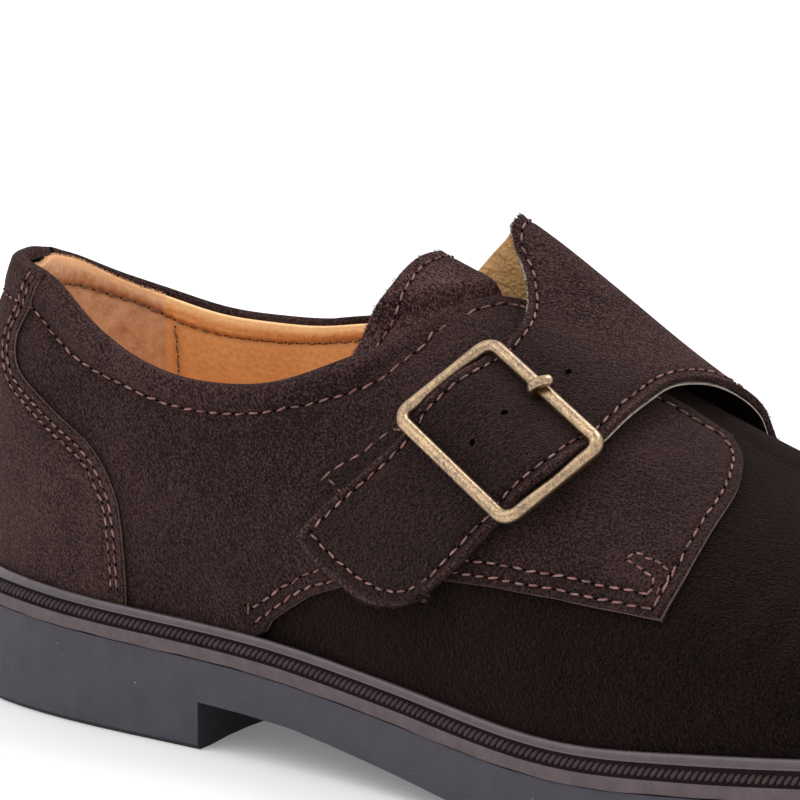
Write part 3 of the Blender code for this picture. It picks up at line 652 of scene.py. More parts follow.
# the groove behind the ribs is near black: painted shade under the bead and between the ribs
weltGroove = makeWeltFinish("weltGroove", (0.006, 0.0022, 0.0028), (0.015, 0.0065, 0.008), 0.7, gloss=0.08)
weltBead = makeWeltFinish("weltBead", (0.046, 0.030, 0.036), (0.098, 0.068, 0.080), 0.24, 0.4)
rubber = makeRubber("soleRubber")
# a much darker copy of the rubber: painted shade on the underside and the heel breast
shadedRubber = makeRubber("soleRubberShadedUnder", 0.25)
brass = makeBrass("antiqueBrass")
prongBrass = makeBrass("prongBrass", 0.95, 0.7)
thread = makeThread("stitchThread", (0.075, 0.027, 0.025), (0.37, 0.195, 0.170))
liningThread = makeThread("liningThread", (0.12, 0.060, 0.040), (0.30, 0.18, 0.13))
fuzzTan = makeThread("gripFuzz", (0.62, 0.33, 0.16), (0.97, 0.66, 0.38), 0.1)
# dark bead colours for needle holes and punched holes: painted shade inside the holes
liningHole = makeThread("liningHole", (0.05, 0.022, 0.012), (0.10, 0.045, 0.025), 0.0)
holeDark = makeThread("needleHole", (0.0022, 0.0011, 0.0011), (0.006, 0.0032, 0.0032), 0.0)
punchDark = makeThread("punchedHole", (0.0008, 0.0004, 0.0004), (0.003, 0.0016, 0.0016), 0.0)
print("finishes made:", len(bpy.data.materials))

# stitches: one stitch and its needle hole are modelled once, and each copy has its own mesh
stitchLook = {"pitch": 3.1, "share": 0.72, "width": 0.47, "height": 0.44, "lean": 0.10, "tilt": 0.11,
              "stray": 0.07, "uneven": 0.06, "hole": (0.78, 0.40, 0.30), "strapHole": (1.75, 1.6, 0.5)}


def modelBead(name, segments, rings, size):
    clearSelection()
    bpy.ops.mesh.primitive_uv_sphere_add(segments=segments, ring_count=rings, radius=0.5)
    bead = bpy.context.object
    bead.name = name
    editAll(bead, bpy.ops.transform.resize, value=size)
    points = np.empty(len(bead.data.vertices) * 3, np.float32)
    bead.data.vertices.foreach_get("co", points)
    faces = [tuple(face.vertices) for face in bead.data.polygons]
    bpy.data.objects.remove(bead)
    return points.reshape(-1, 3).astype(float), faces


def copiesOf(name, model, centres, xAxes, yAxes, zAxes):
    points, faces = model
    count = len(points)
    spread = (centres[:, None, :] + points[None, :, 0:1] * xAxes[:, None, :]
              + points[None, :, 1:2] * yAxes[:, None, :] + points[None, :, 2:3] * zAxes[:, None, :])
    mesh = bpy.data.meshes.new(name)
    allFaces = [tuple(i + k * count for i in face) for k in range(len(centres)) for face in faces]
    mesh.from_pydata(placed(spread.reshape(-1, 3)).tolist(), [], allFaces)
    mesh.shade_smooth()
    piece = bpy.data.objects.new(name, mesh)
    bpy.context.collection.objects.link(piece)
    return piece


def alongRow(path, normals, pitch):
    lengths = lengthsAlong(path)
    count = max(1, int(lengths[-1] // pitch))
    step = lengths[-1] / count
    spots = (np.arange(count) + 0.5) * step
    xAxes = unit(sampled(path, lengths, spots + 0.4) - sampled(path, lengths, spots - 0.4))
    zAxes = sampled(normals, lengths, spots)
    zAxes = unit(zAxes - xAxes * np.sum(zAxes * xAxes, 1, keepdims=True))
    holes = sampled(path, lengths, np.clip(spots - step / 2, 0, lengths[-1]))
    return sampled(path, lengths, spots), xAxes, np.cross(zAxes, xAxes), zAxes, holes, step


stitchModel = modelBead("stitchModel", 8, 6, (1.0, 1.0, 1.0))
stitchRows = []
fuzzLook = {"perMm": 7, "length": 0.85, "width": 0.085, "spread": 0.55}
fuzzRows = []


def fuzzAlong(path, outward, normals, colour="suede", length=1.0, amount=1.0):
    fuzzRows.append((np.asarray(path), np.asarray(outward), np.asarray(normals), colour, length, amount))


def growFuzz(rows, chance):
    # short hairs that stand out of a cut edge, each turned a little its own way
    centres, xAxes, yAxes, zAxes = [], [], [], []
    for path, outward, normals, colour, length, amount in rows:
        travel = lengthsAlong(path)
        count = int(travel[-1] * fuzzLook["perMm"] * amount)
        spots = chance.uniform(0, travel[-1], count)
        root, along, facing, out = (sampled(values, travel, spots) for values in (
            path, np.gradient(path, axis=0), normals, outward))
        along = unit(along)
        aim = unit(out + (along * chance.normal(0, 0.9, (count, 1))
                          + facing * chance.normal(0.1, 0.7, (count, 1))) * fuzzLook["spread"])
        side = unit(np.cross(aim, along))
        reach = fuzzLook["length"] * length * chance.uniform(0.45, 1.25, (count, 1))
        centres.append(root + facing * chance.uniform(-1.1, 0.0, (count, 1)) + aim * reach * 0.35)
        xAxes.append(aim * reach)
        yAxes.append(side * fuzzLook["width"])
        zAxes.append(np.cross(aim, side) * fuzzLook["width"])
    return [np.concatenate(values) for values in (centres, xAxes, yAxes, zAxes)]


def sewRow(path, normals, pitch=None, colour="thread", size=1.0):
    stitchRows.append((np.asarray(path), np.asarray(normals), pitch or stitchLook["pitch"], colour, size))
    return path


def sewOnLast(u, a, face, **settings):
    return sewRow(onLast(u, a, face(u, a)), lastNormal(u, a), **settings)


def nearRows(points, rows, width):
    # 1 on a stitched row, falling to 0 at width from it
    flat = points.reshape(-1, 3)
    near = np.full(len(flat), 1e9)
    for row in rows:
        dense = np.concatenate([row[:-1] + (row[1:] - row[:-1]) * t for t in (0, 0.25, 0.5, 0.75)])
        for i in range(0, len(dense), 60):
            distance = np.linalg.norm(flat[:, None, :] - dense[None, i:i + 60, :], axis=2).min(1)
            near = np.minimum(near, distance)
    return np.exp(-(near / width) ** 2).reshape(points.shape[:2])


def sinkRows(points, normals, rows, depth, width):
    mask = nearRows(points, rows, width)
    return points - normals * (mask * depth)[..., None], mask


# vamp and lining: the wall of the upper in two layers
vampLook = {"around": 190, "up": 64, "start": 0.30, "creases": 1.0, "footTuck": 1.6}


def vampRelief(u, a):
    # soft troughs and ridges where the foot bends the vamp, and the slight fullness beside them
    height = np.zeros_like(u)
    for centre, slant, low, high, depth, width in (
            (0.655, 0.0011, -78, -22, 0.45, 0.010), (0.628, 0.0009, -74, -30, 0.30, 0.008),
            (0.645, -0.0010, 22, 74, 0.40, 0.010), (0.615, -0.0008, 30, 70, 0.25, 0.008)):
        middle = (low + high) / 2
        line = centre + slant * (a - middle)
        reach = ease(a, low, low + 18) * (1 - ease(a, high - 18, high))
        across = (u - line) / width
        height += depth * reach * (0.55 * np.exp(-((across - 2.2) / 1.4) ** 2) - np.exp(-across ** 2))
    return height * vampLook["creases"]


# the vamp runs on under the quarters and the tongue
vampSides = []
for side, topLine in ((-1, topOuter), (1, topInner)):
    u, t = np.meshgrid(np.linspace(vampLook["start"], 1, vampLook["around"]),
                       np.linspace(0, 1, vampLook["up"]), indexing="ij")
    top = topLine(u) + 1.2 * (1 - ease(u, 0.40, 0.446))
    a = side * (90 - (90 - top) * t)
    points = onLast(u, a, wallFace(u, a) + vampRelief(u, a))
    points[:, 0, 2] -= vampLook["footTuck"]
    turn = -side
    vampSides.append(laySheet("vampSide", points[:, ::turn], lastNormal(u, a)[:, ::turn]))
vamp = joinPieces("vamp", vampSides)
mergeDoubles(vamp, 0.00002)
smooth(vamp)
dress(vamp, [vampSuede], "suede", "upper")
print("vamp laid:", len(vamp.data.polygons), "faces")

# the lining follows the wall's inner face: padded and puckered above its stitched row, nubuck at the heel
liningLook = {"around": 380, "up": 76, "rimDrop": 0.9, "rimRadius": 0.5, "padding": 0.9,
              "pucker": 0.16, "puckerPitch": 2.9, "gripEnd": 0.1685, "pitch": 3.0, "trough": (0.30, 0.9)}
liningRowTable = (  # u, how far below the top line the lining is stitched
    (0, 7.0), (0.037, 6.7), (0.066, 5.8), (0.119, 4.7), (0.143, 4.4), (0.170, 4.9), (0.185, 5.5),
    (0.22, 5.35), (0.26, 5.0), (0.30, 4.4), (0.36, 4.0))
liningRowDown = tableLine(liningRowTable)
gripEnd = liningLook["gripEnd"]


def liningFace(u, a):
    return wallFace(u, a) - shoe["wall"] - 0.15


def sewLining(u, a):
    sewRow(onLast(u, a, liningFace(u, a) - 0.06), -lastNormal(u, a), pitch=liningLook["pitch"],
           colour="lining", size=0.86)
    return onLast(u, a, liningFace(u, a))


liningSides = []
for side, topLine in ((-1, topOuter), (1, topInner)):
    rimU = np.linspace(0.004, 0.352, 150)
    rowLines = [sewLining(*insetRow(rimU, side * topLine(rimU), liningRowDown(rimU), side))]
    share = np.linspace(0, 1, 60)
    seamU = gripEnd + 0.0085 + 0.003 * np.sin(math.pi * np.clip(share * 1.6, 0, 1))
    rowLines.append(sewLining(seamU, side * (68.0 + 20.0 * share)))
    us = np.linspace(0, 1, liningLook["around"])
    fromTop = 1 - np.linspace(0, 1, liningLook["up"])
    u, t = np.meshgrid(us, 1 - (0.5 * fromTop + 0.5 * fromTop ** 2), indexing="xy")
    drop = liningLook["rimDrop"] + 0.5 * (1 - ease(u, 0.0, 0.05))
    if side < 0:
        drop = drop + (0.9 + 1.3 * (1 - ease(u, 0.10, 0.17))) * ease(u, 0.004, 0.05)
    perStep = np.maximum(perDegree(u, topLine(u), side), 0.2)
    top = topLine(u) + (drop + liningLook["rimRadius"]) / perStep * (1 - ease(u, 0.437, 0.447))
    a = side * (90 - (90 - top) * t)
    down = belowTop(u, a)
    padShare = np.clip((down - 0.8) / (liningRowDown(u) - 0.8), 0, 1)
    travel = lengthsAlong(lastPoint(us, side * topLine(us)))[None, :]
    waves = np.sin(2 * math.pi * travel / liningLook["puckerPitch"] + 1.3 * np.sin(travel / 7.0))
    pucker = liningLook["pucker"] * waves * np.exp(-((down - liningRowDown(u) + 0.7) / 2.0) ** 2)
    pad = liningLook["padding"] * np.sin(math.pi * padShare) ** 0.8
    gripStep = 0.25 * ease(u, gripEnd - 0.002, gripEnd + 0.001) * ease(down, 3.5, 4.5)
    points = onLast(u, a, liningFace(u, a) - (pad + pucker + gripStep) * (1 - ease(u, 0.36, 0.40)))
    points[0, :, 2] = rubberTop(points[0, :, 0]) + 3.5
    normals = -lastNormal(u, a)
    points, seam = sinkRows(points, normals, rowLines, *liningLook["trough"])
    lips = {"head": (liningLook["rimRadius"], 2 * liningLook["rimRadius"] + 0.4, True)}
    hasGrip = us < gripEnd
    gripRim = withLips(points, normals, lips)[-6][hasGrip]
    upwards = np.tile([0.0, 0.0, 1.0], (len(gripRim), 1))
    for lift, amount in ((0.0, 2.0), (-0.9, 1.4), (-2.0, 1.0)):
        fuzzAlong(gripRim + upwards * lift, upwards + 0.3 * normals[-1][hasGrip], normals[-1][hasGrip],
                  "grip", 0.8, amount)
    liningSides.append(finishSheet("liningSide", points, normals, lips, {
        "seam": seam, "rim": 1 - ease(down / liningRowDown(u), 0.18, 0.60),
        "grip": 1 - ease(u, gripEnd - 0.0015, gripEnd + 0.0015)}))
liningSheet = joinPieces("lining", liningSides)
mergeDoubles(liningSheet, 0.00002)
smooth(liningSheet)
dress(liningSheet, [lining], "lining", "upper")
print("lining laid")

# quarters
quarterFootTable = (
    (0, 90), (0.372, 90), (0.389, 85.2), (0.406, 80.5), (0.426, 76.7), (0.455, 72.2),
    (0.480, 68.9), (0.505, 66.1), (0.538, 63.3), (0.571, 61.8), (0.610, 60.9))
quarterHeadOuter = tuple((row[0], row[1]) for row in topTable[:12]) + (
    (0.425, 17.5), (0.435, 7.5), (0.446, 4.2), (0.47, 4.2), (0.50, 5.6), (0.532, 6.0),
    (0.546, 4.9), (0.576, 5.2), (0.610, 5.2))
quarterHeadInner = tuple((row[0], row[2]) for row in topTable if row[0] <= 0.30) + (
    (0.335, 48), (0.40, 47.5), (0.50, 49), (0.610, 52))
quarterFrontTable = (  # height, u outer, u inner
    (0, 0.5905, 0.585), (0.175, 0.5954, 0.586), (0.324, 0.5978, 0.583), (0.483, 0.5992, 0.577),
    (0.717, 0.5986, 0.566), (0.79, 0.5963, 0.561), (0.88, 0.5914, 0.554), (0.952, 0.5845, 0.5485),
    (1, 0.576, 0.5465))
quarterLook = {"columns": 210, "rows": 66, "padding": 1.0, "padWidth": 5.7, "padMore": 1.9,
               "rollRadius": 1.6, "heelRoll": -0.45, "edgeRadius": 0.4, "edge": 1.35, "collarPitch": 2.45,
               "tackPitch": 2.1, "footTuck": 1.2, "fadeOuter": (0.400, 0.424), "fadeInner": (0.29, 0.33),
               "trough": (0.32, 1.0), "troughInner": (0.3, 1.0)}  # depth and width beside a stitched row

quarterFoot = tableLine(quarterFootTable)
headLineOuter = tableLine(quarterHeadOuter)
headLineInner = tableLine(quarterHeadInner)


def headOuter(u):
    return np.where(np.asarray(u) < 0.413, topOuter(u), headLineOuter(u))


def headInner(u):
    return np.where(np.asarray(u) < 0.30, topInner(u), headLineInner(u))


def rollRadius(u, fade):
    big = quarterLook["rollRadius"] + quarterLook["heelRoll"] * (1 - ease(u, 0.08, 0.16))
    return big + (quarterLook["edgeRadius"] + 0.2 - big) * ease(u, *fade)


def padWidth(u):
    # the padded roll is wider round the heel and towards the throat
    more = 1 - ease(u, 0.235, 0.285) + ease(u, 0.362, 0.400)
    return quarterLook["padWidth"] + quarterLook["padMore"] * more


def collarPad(u, a, fade):
    down = belowTop(u, a)
    share = np.clip(down / padWidth(u), 0, 1)
    swell = np.sin(math.pi * share) ** 0.7 * quarterLook["padding"]
    return swell * (0.35 + 0.65 * ease(u, 0.05, 0.15)) * (1 - ease(u, *fade)) * (u < shoe["throat"])


def quarterFace(u, a):
    lift = 0.55 * ease(u, 0.36, 0.40) * (1 - ease(u, 0.46, 0.50)) * (1 - ease(-a, 18, 34))
    lift = np.where(a < 0, lift, 0.0)
    fade = quarterLook["fadeOuter" if np.mean(a) < 0 else "fadeInner"]
    return wallFace(u, a) + shoe["gap"] + shoe["leather"] + lift + collarPad(u, a, fade)


def quarterRelief(u, a):
    # the side is a little full between the seams, and draws in towards the strap
    height = np.zeros_like(u)
    for cu, ca, ru, ra, depth in (
            (0.46, -44, 0.050, 16, -0.30), (0.545, -30, 0.028, 16, 0.30), (0.36, -66, 0.05, 10, 0.25),
            (0.545, -47, 0.020, 9, -0.22)):
        height += depth * np.exp(-((u - cu) / ru) ** 2 - ((a - ca) / ra) ** 2)
    return height


quarterFrontOuter, quarterFrontInner = tableCurves(quarterFrontTable)


def quarterGrid(height, share, side, front, headLine, fade):
    # from the foot up to where the roll over the top line begins
    height = height[:, None]
    u = share * front(height)
    head = headLine(u)
    head = head + rollRadius(u, fade) / perDegree(u, head, side)
    a = side * (quarterFoot(u) * (1 - height) + head * height)
    return u, a, lastNormal(u, a), rollRadius(u[-1], fade)


# stitched rows of the outer quarter, each drawn in from the edge that it follows
topU = np.linspace(0.015, 0.402, 90)
throatU = np.linspace(0.4275, 0.462, 30)
topRow = [np.concatenate(halves) for halves in zip(
    insetRow(topU, -headOuter(topU), padWidth(topU) + 0.2, -1), ((0.4253, 0.4253), (-30.6, -27.0)),
    insetRow(throatU, -headOuter(throatU), 3.1, -1))]
wingShare = np.linspace(0.03, 1, 60)
wingU = quarterFrontOuter(wingShare)
wingA = -(quarterFoot(wingU) * (1 - wingShare) + headOuter(wingU) * wingShare)
headBack = np.linspace(0.5740, 0.500, 40)
wingU = np.concatenate([wingU, headBack])
wingA = np.concatenate([wingA, -headOuter(headBack)])
fromEdge = np.where(np.arange(len(wingU)) < len(wingShare), 2.2, 3.3)
fromEdge = np.convolve(np.pad(fromEdge, 6, mode="edge"), np.full(13, 1 / 13), "valid")
wingRow = insetRow(wingU, wingA, fromEdge, 1)
bartackRows = (  # the tack that holds the front corner down
    ((0.5807, -57.3), (0.5835, -55.4), (0.5828, -52.8), (0.5770, -52.1), (0.5701, -51.4), (0.5666, -51.2)),
    ((0.5666, -51.2), (0.5694, -49.0), (0.5761, -48.9), (0.5826, -49.3), (0.5886, -50.2)),
    ((0.5890, -50.8), (0.5893, -53.0), (0.5888, -56.0)),
    ((0.5873, -54.1), (0.5861, -56.7)))
footRows = []
for distance, first, last in ((1.5, 0.3745, 0.5865), (4.0, 0.3665, 0.582)):
    footU = np.linspace(first, last, 80)
    footRows.append(insetRow(footU, -quarterFoot(footU), distance, 1))
for tack in bartackRows:
    steps = np.linspace(0, len(tack) - 1, 24)
    tackU, tackA = (np.interp(steps, range(len(tack)), values) for values in zip(*tack))
    sewOnLast(tackU, tackA, quarterFace, pitch=quarterLook["tackPitch"])
rowLines = []
for rowU, rowA in (topRow, wingRow, *footRows):
    keep = np.abs(rowA) < 89.0
    rowLines.append(sewOnLast(rowU[keep], rowA[keep], quarterFace,
                              pitch=quarterLook["collarPitch"] if rowU[keep][0] < 0.02 else None))

u, a, normals, roll = quarterGrid(
    np.linspace(0, 1, quarterLook["rows"]), np.linspace(0.004, 1, quarterLook["columns"]), -1,
    quarterFrontOuter, headOuter, quarterLook["fadeOuter"])
points, seam = sinkRows(onLast(u, a, quarterFace(u, a) + quarterRelief(u, a)), normals, rowLines,
                        *quarterLook["trough"])
points[0, u[0] < 0.38, 2] -= quarterLook["footTuck"]
turned = (quarterLook["edgeRadius"], quarterLook["edge"], False)
lips = {"head": (roll, np.where(u[-1] < 0.40, 2 * roll, np.maximum(2 * roll, quarterLook["edge"])), True),
        "front": turned, "foot": turned}
# the collar roll is painted lighter: painted light on the roll that faces the light above
paintedCollarLight = (1 - ease(belowTop(u, a), 0.5, 7.5)) * (1 - ease(u, 0.40, 0.43))
everyRow = slice(None)
quarterOuter = finishSheet(
    "quarterOuter", points, normals, lips, {"seam": seam, "paintedLight": paintedCollarLight}, [suede, rawEdge], "suede",
    "quarter_outer", [(everyRow, slice(-4, -2), 1), (slice(2, 4), everyRow, 1)])
print("outer quarter laid:", len(quarterOuter.data.polygons), "faces")

# inner quarter, which runs on as the strap
strapTable = (  # rear u, rear a, rear d, front u, front a, front d, bow of the end
    (0.362, 42, 2, 0.5458, 41.5, 0.7, 0), (0.374, 36, 3.1, 0.5456, 34.5, 1.4, 0),
    (0.385, 30, 4.5, 0.5465, 29, 2.5, 0), (0.393, 23.5, 6, 0.5483, 24.5, 2.8, 0),
    (0.400, 17, 7.5, 0.550, 18.5, 3.2, 0), (0.412, 6.5, 10.8, 0.5495, 11, 3.9, 0),
    (0.4193, 0, 12.8, 0.548, 3.5, 4.8, 0), (0.434, -2.7, 8.6, 0.5465, -3.9, 5.6, 0),
    (0.445, -5.6, 6.6, 0.5428, -7.9, 5.8, 0), (0.455, -9.8, 4.6, 0.5405, -12.3, 5.6, 0),
    (0.463, -16.5, 4.1, 0.540, -17.7, 5.5, 0), (0.4655, -21.4, 3.8, 0.5374, -25.7, 5.1, 0),
    (0.4647, -26, 3.6, 0.5332, -33.2, 4.3, 0), (0.4623, -30.2, 4.5, 0.5294, -36.7, 5.2, 0),
    (0.4606, -34.1, 6, 0.5274, -41, 6.7, 0), (0.4577, -37.3, 6.5, 0.5243, -44.2, 7.1, 0),
    (0.4539, -40.1, 6, 0.5196, -46.8, 6.5, 0), (0.4486, -43.1, 4.5, 0.5128, -49.8, 4.9, 0),
    (0.4456, -46.8, 3.3, 0.5075, -53.5, 3.6, 0), (0.4405, -51.6, 3.2, 0.5014, -58.1, 3.4, 0),
    (0.430, -57.8, 3.2, 0.4937, -63.6, 3.3, 0), (0.416, -64.4, 3.2, 0.4845, -68.6, 3.2, -1.2),
    (0.402, -71.2, 3.2, 0.4758, -72.3, 3.2, -5.2))
strapLook = {
    "thickness": 2.0, "sideTone": 0.39, "cutEdgeHighlight": 1.8, "columns": 40, "rows": 190, "quarterRows": 39,
    "edgeRadius": 0.35, "edge": 1.45, "rootRear": (0.335, 48.0), "rootFront": 0.5465, "stitchInset": 2.2,
    "endInset": 3.6, "pitch": 2.85, "trough": (0.28, 0.9), "endReach": (
        (0, 0), (0.2, -0.4), (0.38, -0.7), (0.5, -0.1), (0.66, 0.7), (0.8, 1.1), (0.95, 1.7), (1, 1.1)),
    "holes": ((63.57, 0.478), (79.96, 0.467), (86.73, 0.475))}  # along and across the strap


def strapBed(u, a):
    return wallFace(u, a) + 0.4 * shoe["gap"]


root = strapLook["rootRear"][0] / strapLook["rootFront"]
w = np.linspace(0, 1, strapLook["columns"])
footShares = np.linspace(0, 1, strapLook["quarterRows"] + 1)[:-1]
allRows = []
for height in footShares:
    u = (root + (1 - root) * w) * quarterFrontInner(height)
    a = quarterFoot(u) * (1 - height) + headInner(u) * height
    allRows.append((u, a, strapBed(u, a) + vampRelief(u, a)))
firstStrapRow = len(allRows)
rootRow = []
rootFront = (strapLook["rootFront"], float(headInner(strapLook["rootFront"])))
for spot in (strapLook["rootRear"], rootFront):
    rootRow += [*spot, float(strapBed(*spot))]
edges = np.array([rootRow + [0], *strapTable]).T
middleLine = (onLast(*edges[:3]) + onLast(*edges[3:6])) / 2
travel = lengthsAlong(middleLine)
fineTravel = np.linspace(0, travel[-1], strapLook["rows"])
fine = [curveThrough(travel, column)(fineTravel) for column in edges[:6]]
for rearU, rearA, rearD, frontU, frontA, frontD, bow in zip(*fine, np.interp(fineTravel, travel, edges[6])):
    bowed = bow * np.sin(math.pi * w) ** 0.8
    allRows.append((rearU + (frontU - rearU) * w, rearA + (frontA - rearA) * w + bowed,
                    rearD + (frontD - rearD) * w))
u, a, d = np.array(allRows).transpose(1, 0, 2)
strapInner = onLast(u, a, d)
endReach = tableLine(strapLook["endReach"])(w)
alongStrap = unit(np.gradient(strapInner, axis=0))
endShare = np.zeros(len(allRows))
endShare[firstStrapRow:] = ease(fineTravel, fineTravel[-1] - 12.0, fineTravel[-1])
strapInner = strapInner + alongStrap * (endShare[:, None] * endReach[None, :])[..., None]
# the fold over the instep is eased out, except along the pointed rear edge
spread = np.hanning(19)[1:-1]
padded = np.pad(strapInner, ((8, 8), (0, 0), (0, 0)), mode="edge")
eased = sum(share * padded[k:k + len(strapInner)] for k, share in enumerate(spread / spread.sum()))
alongShare = np.zeros(len(allRows))
alongShare[firstStrapRow:] = ease(fineTravel, 4.0, 10.0) * (1 - ease(fineTravel, 50.0, 60.0))
strapInner += (eased - strapInner) * (alongShare[:, None] * ease(w, 0.12, 0.45)[None, :])[..., None]
strapNormals = sheetNormals(strapInner)
blendRows = np.clip((firstStrapRow + 12 - np.arange(len(allRows))) / 12.0, 0, 1)[:, None, None]
thick = strapLook["thickness"] + (shoe["leather"] - strapLook["thickness"]) * blendRows
strapOuter = strapInner + strapNormals * thick


def drawnIn(points, distance, fromEnd=False):
    # a line along the sheet at a distance from its rear or front edge
    rows = points[:, ::-1] if fromEnd else points
    return np.array([sampled(row, lengthsAlong(row), [distance])[0] for row in rows])


def lineNormals(points, normals, line):
    flat = points.reshape(-1, 3)
    found = [int(np.argmin(np.sum((flat - spot) ** 2, axis=1))) for spot in line]
    return normals.reshape(-1, 3)[found]


strapHoles = []
for travelled, across in strapLook["holes"]:
    row = firstStrapRow + int(round(travelled / fineTravel[-1] * (strapLook["rows"] - 1)))
    column = int(round(across * (len(w) - 1)))
    strapHoles.append((strapOuter[row, column], alongStrap[row, column], strapNormals[row, column]))
inset = strapLook["stitchInset"]
rearLine = drawnIn(strapOuter[firstStrapRow + 2:], inset)
frontLine = drawnIn(strapOuter[firstStrapRow - 36:], inset, True)
endLine = drawnIn(strapOuter.transpose(1, 0, 2), strapLook["endInset"], True)


def shortened(line, corner, more):
    # a row stops where it meets the row across the end
    return line[np.linalg.norm(line - corner, axis=1) > math.hypot(strapLook["endInset"], inset) + more]


rearTip, frontTip = strapOuter[-1, 0], strapOuter[-1, -1]
rearLine = shortened(rearLine, rearTip, 0.6)
frontLine = shortened(frontLine, frontTip, 1.6)
endLine = shortened(shortened(endLine, rearTip, -0.3), frontTip, 0.4)
bend = (endLine[-1] + frontLine[-1]) / 2
bend -= (bend - frontTip) * 0.12
strapLines = [rearLine, np.concatenate([endLine, [bend], frontLine[::-1]])]
for line in strapLines:
    sewRow(line, lineNormals(strapOuter, strapNormals, line), pitch=strapLook["pitch"])
strapOuter, seam = sinkRows(strapOuter, strapNormals, strapLines, *strapLook["trough"])
acrossStrap = unit(np.gradient(strapOuter, axis=1))
bare = slice(firstStrapRow + 6, None)
fuzzAlong(strapOuter[bare, 0], -acrossStrap[bare, 0], strapNormals[bare, 0])
fuzzAlong(strapOuter[bare, -1], acrossStrap[bare, -1], strapNormals[bare, -1])
fuzzAlong(strapOuter[-1], alongStrap[-1], strapNormals[-1], amount=1.4)
lips = {side: (strapLook["edgeRadius"], strapLook["edge"], False) for side in ("rear", "front", "head")}
# the strap is painted paler where it crosses the instep, as painted light on its top, fading out towards
# the end, and the side below keeps the quarter's tone
paintedTopLight = np.zeros(u.shape)
paintedTopLight[firstStrapRow:] = np.maximum(ease(w, 0.0, 0.5)[None, :], ease(fineTravel, 0.0, 15.0)[:, None])
paintedTopLight[:firstStrapRow] = ease(footShares, 0.4, 1.0)[:, None] * ease(w, 0.0, 0.5)[None, :]
paintedLight = strapLook["sideTone"] + (1 - strapLook["sideTone"]) * paintedTopLight
paintedLight[firstStrapRow:] *= (1 - ease(fineTravel, 42, 66))[:, None]
# its cut edges get a painted highlight down to the tip
cutEdgeHighlight = np.maximum(np.maximum(1 - ease(w, 0.0, 0.05), ease(w, 0.95, 1.0))[None, :],
                     ease(fineTravel, fineTravel[-1] - 0.9, fineTravel[-1])[:, None])
paintedLight[firstStrapRow:] += strapLook["cutEdgeHighlight"] * cutEdgeHighlight * ease(fineTravel, 42, 60)[:, None]
strapFace = finishSheet("strapFace", strapOuter, strapNormals, lips, {"seam": seam, "paintedLight": paintedLight})

u, a, normals, roll = quarterGrid(np.append(footShares, 1.0), np.linspace(0.004, root, 120), 1,
                                  quarterFrontInner, headInner, quarterLook["fadeInner"])
topU = np.linspace(0.015, 0.33, 70)
innerRow = sewOnLast(*insetRow(topU, topInner(topU), padWidth(topU) + 0.2, 1), quarterFace,
                     pitch=quarterLook["collarPitch"])
points, seam = sinkRows(onLast(u, a, quarterFace(u, a)), normals, [innerRow], *quarterLook["troughInner"])
points[0, u[0] < 0.38, 2] -= quarterLook["footTuck"]
# the inner side is lifted to the quarter's tone, and its collar roll a little more: painted light on the
# roll
paintedCollarLight = strapLook["sideTone"] + 0.25 * (1 - ease(belowTop(u, a), 0.5, 7.5)) * (1 - ease(u, 0.27, 0.32))
quarterBack = finishSheet("quarterBack", points, normals, {"head": (roll, 2 * roll, True)},
                          {"seam": seam, "paintedLight": paintedCollarLight})
quarterInner = joinPieces("quarterInnerStrap", [strapFace, quarterBack])
dress(quarterInner, [strapSuede], "suede", "quarter_inner_strap")

# its light lining, a little wider than the suede, with a raw edge; the front half of its underside is
# painted near black as painted shadow under the strap
liningRows = slice(firstStrapRow - 6, -1)
grown = strapInner[liningRows].copy()
lowNormals = -strapNormals[liningRows]
travelled = np.concatenate([np.zeros(6), fineTravel[:-1]])
reachRear = 0.8 * ease(travelled, 12, 20) * (1 - ease(travelled, 52, 60)) - 0.15
reachFront = 0.25 * ease(travelled, 10, 20) * (1 - ease(travelled, 66, 74)) - 0.32
for column, beside, reach in ((0, 1, reachRear), (-1, -2, reachFront)):
    grown[:, column] += unit(grown[:, column] - grown[:, beside]) * reach[:, None]
paintedShade = np.broadcast_to(ease(w, 0.40, 0.60)[None, :], grown.shape[:2])
rowTravel = np.pad(travelled, (0, 7), mode="edge")[:-1]
finishSheet(
    "strapLiningSheet", grown, lowNormals,
    {"rear": (0.15, 0.45, False), "front": (0.10, 0.28, False), "head": (0.15, 0.45, False)},
    {"paintedShade": paintedShade}, [strapLining, whiteEdge, strapSuede], "lining", "quarter_inner_strap",
    [(rowTravel < 62, slice(None, 6), 1), (rowTravel < 72, slice(-6, None), 1),
     (rowTravel >= 62, slice(None, 7), 2), (rowTravel >= 72, slice(-7, None), 2),
     (slice(-8, None), everyRow, 2)])
print("strap laid:", len(quarterInner.data.polygons), "faces")

# heel counter over both quarters
counterTable = (  # degrees, u of the front edge
    (90, 0.287), (80.8, 0.285), (76.4, 0.280), (73.4, 0.269), (71.7, 0.254), (71.1, 0.233),
    (70.6, 0.205), (70, 0.180), (67.6, 0.1695), (65.1, 0.170), (61.5, 0.175), (58.5, 0.178),
    (56, 0.181))
counterLook = {"rows": 70, "columns": 150, "thickness": 0.95, "rowsInside": (1.9, 3.6), "pitch": 2.45,
               "footTuck": 1.2, "trough": (0.25, 0.85)}

counterAngle, counterFront = tableCurves([(step, *row) for step, row in enumerate(counterTable)])


def counterFrontOf(side, t):
    # the finger up the back is narrow on the inner side
    narrow = 1 - 0.66 * ease(t, 4.5, 10.5)
    return counterFront(t) * np.where(np.asarray(side) < 0, 1.0, narrow)


def counterFace(u, a):
    thin = 0.5 * (1 - ease(belowTop(u, a), 1, 12))
    return quarterFace(u, a) + (0.42 + counterLook["thickness"]) * (1 - thin)


